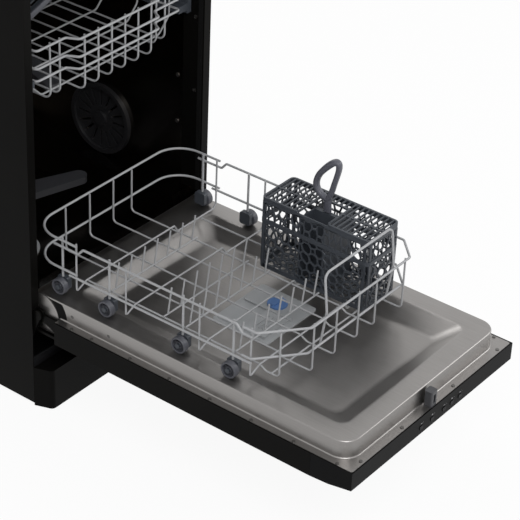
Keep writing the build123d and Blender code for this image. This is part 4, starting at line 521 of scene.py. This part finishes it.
# Cutlery basket: net walls between solid corners, a ridge, a rim, a net floor and two dividers
caddyLow, caddyHigh = boxOf("cutlery_basket")
caddySize = {
    "left": caddyLow[0], "right": caddyHigh[0], "front": caddyLow[1], "rear": caddyHigh[1],
    "bottom": caddyLow[2], "top": caddyHigh[2],
    "corner": 8.0, "wall": 2.2, "ridgeLow": 316.0, "ridgeHigh": 323.0, "ridgeProud": 0.8,
    "rimLow": 353.0, "footHigh": 237.0, "post": 11.0, "postStart": 4.8, "lap": 1.0, "netLap": 2.0,
    "handleY": -331.5, "handleHalf": 23.5, "dividerInset": 2.0, "dividerDrop": 6.0, "spineHalf": 4.0,
    "rib": 0.84, "lowCell": 12.5, "highCell": 11.0, "sideSeed": 3, "endSeed": 11,
    "floorRib": 0.7, "floorCell": 12.0, "floorLap": 7.0, "floorLift": 0.2, "floorSeed": 21,
}


def band(shape, size, low, high, thick, proud=0.0):
    halfX = (size["right"] - size["left"]) / 2
    centreX = (size["right"] + size["left"]) / 2
    rings = []
    for inset, z in ((-proud, low), (-proud, high), (thick, high), (thick, low), (-proud, low)):
        corner = size["corner"] - inset
        loop = roundedLoop(halfX - inset, size["front"] + inset, size["rear"] - inset, corner, corner)
        rings.append([(x + centreX, y, z) for x, y in loop])
    loft(shape, rings, True)


def addBox(shape, low, high):
    made = bmesh.ops.create_cube(shape, size=1.0)["verts"]
    middle = [(a + b) / 2 for a, b in zip(low, high)]
    reach = [b - a for a, b in zip(low, high)]
    place = Matrix.Translation(middle) @ Matrix.Diagonal((*reach, 1.0))
    bmesh.ops.transform(shape, matrix=place, verts=made)


def addNet(shape, values, place):
    baked = bakeTree(netTree, values)
    baked.transform(Matrix.Scale(1.0 / mm, 4))
    baked.transform(place)
    shape.from_mesh(baked)
    bpy.data.meshes.remove(baked)


def addCaddyFrame(shape):  # three bands, with an angle in each corner
    size = caddySize
    band(shape, size, size["rimLow"], size["top"], size["wall"])
    band(shape, size, size["ridgeLow"], size["ridgeHigh"], size["wall"], proud=size["ridgeProud"])
    band(shape, size, size["bottom"], size["footHigh"], size["wall"])
    along = (size["postStart"], size["post"])
    across = (0.0, size["wall"])
    for x, turnX in ((size["left"], 1), (size["right"], -1)):
        for y, turnY in ((size["front"], 1), (size["rear"], -1)):
            for spanX, spanY in ((along, across), (across, along)):
                ends = sorted(x + turnX * reach for reach in spanX)
                sides = sorted(y + turnY * reach for reach in spanY)
                low = (ends[0], sides[0], size["bottom"])
                addBox(shape, low, (ends[1], sides[1], size["rimLow"] + size["lap"]))


def addCaddyNets(shape, middleX, middleY):
    size = caddySize
    length = size["rear"] - size["front"] - 2 * (size["post"] - size["netLap"])
    width = size["right"] - size["left"] - 2 * (size["post"] - size["netLap"])
    shared = {"Depth": size["wall"] * mm, "Finish": materials["dark_grey_plastic"]}
    upright = Matrix.Rotation(math.radians(90), 4, "X")
    spans = (
        (size["footHigh"] - size["lap"], size["ridgeLow"] + size["lap"], size["lowCell"]),
        (size["ridgeHigh"] - size["lap"], size["rimLow"] + size["lap"], size["highCell"]),
    )
    for number, (low, high, cell) in enumerate(spans):
        middleZ = (low + high) / 2
        values = {**shared, "Height": (high - low) * mm, "Cell": cell * mm, "Rib": size["rib"]}
        for side, x in ((-1, size["left"]), (1, size["right"])):
            face = Matrix.Rotation(math.radians(side * 90), 4, "Z")
            place = Matrix.Translation((x - side * size["wall"], middleY, middleZ)) @ face @ upright
            seed = size["sideSeed"] + number + side
            addNet(shape, {**values, "Length": length * mm, "Seed": seed}, place)
        for side, y in ((-1, size["front"]), (1, size["rear"])):
            face = Matrix.Rotation(0.0 if side < 0 else math.pi, 4, "Z")
            place = Matrix.Translation((middleX, y - side * size["wall"], middleZ)) @ face @ upright
            seed = size["endSeed"] + number + side
            addNet(shape, {**values, "Length": width * mm, "Seed": seed}, place)
    floor = {
        **shared, "Cell": size["floorCell"] * mm, "Rib": size["floorRib"], "Seed": size["floorSeed"],
        "Length": (width + 2 * size["floorLap"]) * mm,
        "Height": (length + 2 * size["floorLap"]) * mm,
    }
    addNet(shape, floor, Matrix.Translation((middleX, middleY, size["bottom"] + size["floorLift"])))


def makeCaddy():
    size = caddySize
    shape = bmesh.new()
    middleX = (size["right"] + size["left"]) / 2
    middleY = (size["rear"] + size["front"]) / 2
    addCaddyFrame(shape)
    addCaddyNets(shape, middleX, middleY)
    low, high = size["bottom"] + size["lap"], size["top"] - size["dividerDrop"]
    left, right = size["left"] + size["dividerInset"], size["right"] - size["dividerInset"]
    front, rear = size["handleY"] - size["handleHalf"], size["handleY"] + size["handleHalf"]
    for y in (front, rear):
        addBox(shape, (left, y - size["wall"] / 2, low), (right, y + size["wall"] / 2, high))
    addBox(shape, (middleX - size["spineHalf"], front, low), (middleX + size["spineHalf"], rear, high))
    finishPiece("cutleryBasket", shape, "dark_grey_plastic", "cutlery_basket", ["cutlery_basket"])


makeCaddy()
print("cutlery basket")


# Lid of the cutlery basket: two slatted frames, a bridge beside the handle and the hinge barrel
lidLow, lidHigh = boxOf("cutlery_lid")
lidSize = {
    "low": lidLow[2], "high": lidHigh[2], "rim": 3.4, "notchHalf": 28.0, "bridgeLeft": 140.0,
    "rib": 2.6, "slat": 2.8, "pitch": 9.4, "sink": 0.2, "lap": 0.5, "barrelSteps": 16,
}


def addSlats(shape, left, right, front, rear):
    size = lidSize
    count = round((rear - front) / size["pitch"])
    for number in range(1, count):
        y = front + (rear - front) * number / count
        low = (left + size["rim"] - size["lap"], y - size["slat"] / 2, size["low"] + size["sink"])
        high = (right - size["rim"] + size["lap"], y + size["slat"] / 2, size["high"] - 2 * size["sink"])
        addBox(shape, low, high)


def makeLid():
    size = {**caddySize, **lidSize}
    shape = bmesh.new()
    middleX = (size["left"] + size["right"]) / 2
    notchFront = size["handleY"] - size["notchHalf"]
    notchRear = size["handleY"] + size["notchHalf"]
    inside = size["rim"] - size["lap"]
    for front, rear in ((size["front"], notchFront), (notchRear, size["rear"])):
        band(shape, {**size, "front": front, "rear": rear}, size["low"], size["high"], size["rim"])
        addSlats(shape, size["left"], size["right"], front, rear)
        low = (middleX - size["rib"] / 2, front + inside, size["low"] + size["sink"] / 2)
        high = (middleX + size["rib"] / 2, rear - inside, size["high"] - size["sink"])
        addBox(shape, low, high)
    bridge = {
        **size, "left": size["bridgeLeft"],
        "front": notchFront - size["rim"], "rear": notchRear + size["rim"],
    }
    band(shape, bridge, size["low"] + size["sink"] / 2, size["high"] - size["sink"] / 2, size["rim"])
    addSlats(shape, size["bridgeLeft"], size["right"], notchFront, notchRear)
    radius = (size["high"] - size["low"]) / 2
    turns = [2 * math.pi * step / size["barrelSteps"] for step in range(size["barrelSteps"])]
    ends = []
    for y in (size["front"] + size["corner"], size["rear"] - size["corner"]):
        ends.append([
            (size["right"] + radius * math.cos(turn), y, size["low"] + radius + radius * math.sin(turn))
            for turn in turns
        ])
    solidLoft(shape, ends)
    faceOutwards(shape)
    finishPiece("cutleryLid", shape, "dark_grey_plastic", "cutlery_lid", ["cutlery_lid"])


makeLid()
print("lid of the cutlery basket")


# Handle of the cutlery basket: a loop that leans forward, with a broad flat top band, on a short stem
handleLow, handleHigh = boxOf("cutlery_handle")
handleSize = {
    "x": (handleLow[0] + handleHigh[0]) / 2, "steps": 8, "corners": 16, "stemHalf": 3.8,
    "squareness": 0.6,  # 1 is an oval, and less fills its corners
    # Y and Z of the loop's middle line, its half width across X and its half thickness
    "path": [
        (-330.5, 380.0, 5.0, 4.6), (-317.0, 383.5, 5.2, 4.6), (-308.5, 392.5, 5.4, 4.6),
        (-307.0, 404.0, 5.6, 4.6), (-311.8, 418.0, 6.2, 4.8), (-321.5, 431.5, 7.0, 5.4),
        (-332.0, 443.5, 7.4, 5.8), (-341.0, 450.5, 7.0, 5.2), (-347.5, 450.0, 5.8, 4.4),
        (-349.0, 442.0, 5.2, 4.2), (-346.5, 429.0, 5.0, 4.2), (-342.0, 412.0, 5.0, 4.2),
        (-337.5, 395.0, 5.0, 4.4),
    ],
    # Z, Y and half width of the stem
    "stem": [(356.0, -331.5, 7.0), (366.0, -331.5, 6.4), (374.0, -330.6, 6.6), (381.0, -328.5, 9.0)],
}


def smoothLoop(points, steps):
    path = []
    for index in range(len(points)):
        around = [Vector(points[(index + shift) % len(points)]) for shift in (-1, 0, 1, 2)]
        before, start, end, after = around
        for step in range(steps):
            t = step / steps
            bend = 2 * before - 5 * start + 4 * end - after
            twist = 3 * start - before - 3 * end + after
            path.append(0.5 * (2 * start + (end - before) * t + bend * t**2 + twist * t**3))
    return path


def ovalRing(x, y, z, sideways, thick, outY, outZ):
    size = handleSize
    ring = []
    for corner in range(size["corners"]):
        turn = 2 * math.pi * corner / size["corners"]
        across = math.copysign(abs(math.sin(turn)) ** size["squareness"], math.sin(turn)) * sideways
        out = math.copysign(abs(math.cos(turn)) ** size["squareness"], math.cos(turn)) * thick
        ring.append((x + across, y + out * outY, z + out * outZ))
    return ring


def makeHandle():
    size = handleSize
    shape = bmesh.new()
    path = smoothLoop(size["path"], size["steps"])
    rings = []
    for index, (y, z, sideways, thick) in enumerate(path):
        ahead = path[(index + 1) % len(path)] - path[index - 1]
        length = math.hypot(ahead[0], ahead[1])
        rings.append(ovalRing(size["x"], y, z, sideways, thick, ahead[1] / length, -ahead[0] / length))
    rings.append(rings[0])
    loft(shape, rings, True)
    solidLoft(shape, [
        ovalRing(size["x"], y, z, size["stemHalf"], half, 1.0, 0.0)
        for z, y, half in size["stem"]
    ])
    faceOutwards(shape)
    finish = moulded("handlePlastic", (0.064, 0.066, 0.082), (0.105, 0.108, 0.13), 0.4)
    finishPiece("cutleryHandle", shape, "slate_plastic", "cutlery_basket", ["cutlery_handle"], finish, 60.0)


makeHandle()
print("handle")


# Gaiters: the bellows that show in a quarter window at each end of the rim
gaiterSize = {
    "inner": 37.8, "outer": 55.0, "rise": 33.8, "start": 114.0, "end": 172.0, "steps": 24,
    "folds": 5, "deep": 0.35, "flat": 0.12, "sunk": -0.3,
}


def makeGaiters():
    size = gaiterSize
    side, pivotY, pivotZ = linerSize["rimHalf"], linerSize["pivotY"], linerSize["pivotZ"]
    for label, mirror in (("Left", -1), ("Right", 1)):
        shape = bmesh.new()
        rings = []
        for step in range(size["steps"] + 1):
            turn = math.radians(size["start"] + (size["end"] - size["start"]) * step / size["steps"])
            reach = min(size["rise"] / math.sin(turn), size["outer"])
            ring = []
            for fold in range(2 * size["folds"] + 1):
                radius = size["inner"] + (reach - size["inner"]) * fold / (2 * size["folds"])
                ring.append((radius, size["deep"] if fold % 2 else size["flat"]))
            ring += [(reach, size["sunk"]), (size["inner"], size["sunk"])]
            rings.append([
                (mirror * (side + proud), pivotY + radius * math.cos(turn), pivotZ + radius * math.sin(turn))
                for radius, proud in ring
            ])
        solidLoft(shape, rings)
        faceOutwards(shape)
        finishPiece(f"rimGaiter{label}", shape, "black_rubber", "door", sharpAngle=20.0)


# Dimples: two pressed rings in each side of the rim
dimpleSize = {
    "places": ((-72.3, 201.7), (-150.2, 199.5)), "steps": 20, "pole": 0.05,
    # Radius and height over the sheet
    "profile": ((3.4, -0.1), (3.0, 0.3), (2.2, 0.3), (1.5, 0.05), (0.02, 0.05)),
}


def makeDimples():
    size = dimpleSize
    wall = linerSize["rimHalf"]
    shape = bmesh.new()
    for side in (-1, 1):
        for y, z in size["places"]:
            rings = []
            for step in range(size["steps"] + 1):
                turn = 2 * math.pi * step / size["steps"]
                rings.append([
                    (side * (wall + out), y + radius * math.cos(turn), z + radius * math.sin(turn))
                    for radius, out in size["profile"]
                ])
            loft(shape, rings, False)
    faceOutwards(shape, size["pole"])
    outward = sum(face.normal.x * face.calc_center_median().x * face.calc_area() for face in shape.faces)
    if outward < 0:
        bmesh.ops.reverse_faces(shape, faces=shape.faces)
    finishPiece("rimDimples", shape, "stainless", "door", material=dullSteel)


# Edge of the cup shelf: a grey strip with softened corners, tilted as the shelf is
shelfSize = {
    "x": -174.0, "z": 660.0, "front": 58.6, "thick": 5.0, "length": 106.0,
    "low": -4.0, "high": 7.0, "tilt": 20.0, "chamfer": 1.0, "taper": 2.0, "pinch": 1.2,
}


def makeShelfEdge():
    size = shelfSize
    shape = bmesh.new()
    lean = Matrix.Rotation(-math.radians(size["tilt"]), 4, "Y")
    tilt = Matrix.Translation((size["x"], 0, size["z"])) @ lean
    cut = size["chamfer"]
    rings = []
    for along in (0.0, size["taper"], size["length"] - size["taper"], size["length"]):
        pinch = size["pinch"] if along in (0.0, size["length"]) else 0.0
        low, high = size["low"] + pinch, size["high"] - pinch
        front, rear = size["front"] + pinch / 2, size["front"] + size["thick"] - pinch / 2
        corners = [(front, low + cut), (front + cut, low), (rear - cut, low), (rear, low + cut)]
        corners += [(rear, high - cut), (rear - cut, high), (front + cut, high), (front, high - cut)]
        rings.append([tilt @ Vector((along, y, z)) for y, z in corners])
    solidLoft(shape, rings)
    faceOutwards(shape)
    finishPiece("cupShelfEdge", shape, "slate_plastic", "cup_shelf", sharpAngle=50.0)


# Marks: a plain bar over each button, a short one over every second, and a dot beside each
markSize = {"buttons": 5, "z": 174.5, "half": 2.0, "line": 0.4, "proud": 0.1, "sunk": 0.3}


def makeMarks():
    size = markSize
    shape = bmesh.new()
    face = boxOf("control_fascia")[0][1]
    low, high = face - size["proud"], face + size["sunk"]
    half, line, z = size["half"], size["line"], size["z"]
    for count in range(size["buttons"]):
        button = boxOf(f"button_{count + 1}")
        x = (button[0][0] + button[1][0]) / 2
        dot = x + half + 8 * line
        addBox(shape, (x - half, low, z - line), (x + half, high, z + line))
        if count % 2:
            addBox(shape, (x - half / 2, low, z + 2 * line), (x + half / 2, high, z + 4 * line))
        addBox(shape, (dot, low, z - line), (dot + 2 * line, high, z + line))
    faceOutwards(shape)
    finishPiece("fasciaMarks", shape, "wire_coat", "door")


makeGaiters()
makeDimples()
makeShelfEdge()
makeMarks()
print("small fittings")


# Camera at the photograph's place
cameraSize = {
    "place": (-2.1769, -1.9079, 2.0523), "heading": 53.4, "tilt": 32.8, "roll": 2.5,
    "lens": 139.72, "sensor": 36.0, "farthest": 50.0,
}


def makeCamera():
    heading, tilt, roll = (math.radians(cameraSize[key]) for key in ("heading", "tilt", "roll"))
    reach = math.cos(tilt)
    forward = Vector((math.sin(heading) * reach, math.cos(heading) * reach, -math.sin(tilt)))
    level = Vector((math.cos(heading), -math.sin(heading), 0.0))
    upright = level.cross(forward)
    right = level * math.cos(roll) + upright * math.sin(roll)
    up = upright * math.cos(roll) - level * math.sin(roll)
    data = bpy.data.cameras.new("camera")
    data.lens = cameraSize["lens"]
    data.sensor_width = cameraSize["sensor"]
    data.clip_end = cameraSize["farthest"]
    camera = bpy.data.objects.new("camera", data)
    turn = Matrix((right, up, -forward)).transposed().to_4x4()
    camera.matrix_world = Matrix.Translation(cameraSize["place"]) @ turn
    bpy.context.scene.collection.objects.link(camera)
    bpy.context.scene.camera = camera


# Stage: a pale floor under a pale sky, and three soft lamps
stageSize = {
    "ambient": 0.45, "white": (1.0, 1.0, 1.0, 1.0), "floor": 12.0, "drop": -0.0005,
    "paper": (0.8, 0.8, 0.8, 1.0), "paperRoughness": 0.9, "glow": 0.93,
    # Name, place, aim, width and power
    "lamps": (
        ("key", (-1.6, -2.2, 2.9), (0.0, -0.1, 0.3), 2.2, 75.0),
        ("fill", (2.4, -1.8, 1.8), (0.0, -0.2, 0.3), 2.0, 28.0),
        ("rear", (0.6, 2.2, 2.6), (0.0, 0.0, 0.4), 2.0, 30.0),
    ),
}


def areaLamp(name, place, target, size, power):
    data = bpy.data.lights.new(name, "AREA")
    data.shape = "DISK"
    data.size = size
    data.energy = power
    lamp = bpy.data.objects.new(name, data)
    lamp.location = place
    lamp.rotation_euler = (Vector(target) - Vector(place)).to_track_quat("-Z", "Y").to_euler()
    bpy.context.scene.collection.objects.link(lamp)


def whiteOnSight(tree, dim, bright):  # bright to the camera and in gloss, dim as a light on the machine
    path = tree.nodes.new("ShaderNodeLightPath")
    seen = path.outputs["Is Camera Ray"]
    for other in ("Is Glossy Ray", "Is Transmission Ray"):
        both = tree.nodes.new("ShaderNodeMath")
        both.operation = "MAXIMUM"
        tree.links.new(seen, both.inputs[0])
        tree.links.new(path.outputs[other], both.inputs[1])
        seen = both.outputs[0]
    mix = tree.nodes.new("ShaderNodeMixShader")
    tree.links.new(seen, mix.inputs[0])
    tree.links.new(dim, mix.inputs[1])
    tree.links.new(bright, mix.inputs[2])
    return mix


def makeSky():
    world = bpy.data.worlds.new("studio")
    bpy.context.scene.world = world
    world.use_nodes = True
    tree = world.node_tree
    ambient = tree.nodes["Background"]
    ambient.inputs[0].default_value = stageSize["white"]
    ambient.inputs[1].default_value = stageSize["ambient"]
    white = tree.nodes.new("ShaderNodeBackground")
    white.inputs[0].default_value = stageSize["white"]
    mix = whiteOnSight(tree, ambient.outputs[0], white.outputs[0])
    tree.links.new(mix.outputs[0], tree.nodes["World Output"].inputs[0])


def makeFloor():
    bpy.ops.mesh.primitive_plane_add(size=stageSize["floor"], location=(0.0, 0.0, stageSize["drop"]))
    floor = bpy.context.object
    floor.name = "floor"
    paper = bpy.data.materials.new("paleFloor")
    paper.use_nodes = True
    tree = paper.node_tree
    shader = tree.nodes["Principled BSDF"]
    shader.inputs["Base Color"].default_value = stageSize["paper"]
    shader.inputs["Roughness"].default_value = stageSize["paperRoughness"]
    glow = tree.nodes.new("ShaderNodeEmission")
    lift = tree.nodes.new("ShaderNodeMixShader")
    lift.inputs[0].default_value = stageSize["glow"]
    tree.links.new(shader.outputs[0], lift.inputs[1])
    tree.links.new(glow.outputs[0], lift.inputs[2])
    mix = whiteOnSight(tree, shader.outputs[0], lift.outputs[0])
    tree.links.new(mix.outputs[0], tree.nodes["Material Output"].inputs[0])
    floor.data.materials.append(paper)


makeCamera()
makeSky()
makeFloor()
for lamp in stageSize["lamps"]:
    areaLamp(*lamp)
bpy.context.scene.view_settings.view_transform = "Standard"
print("camera, lamps and floor")
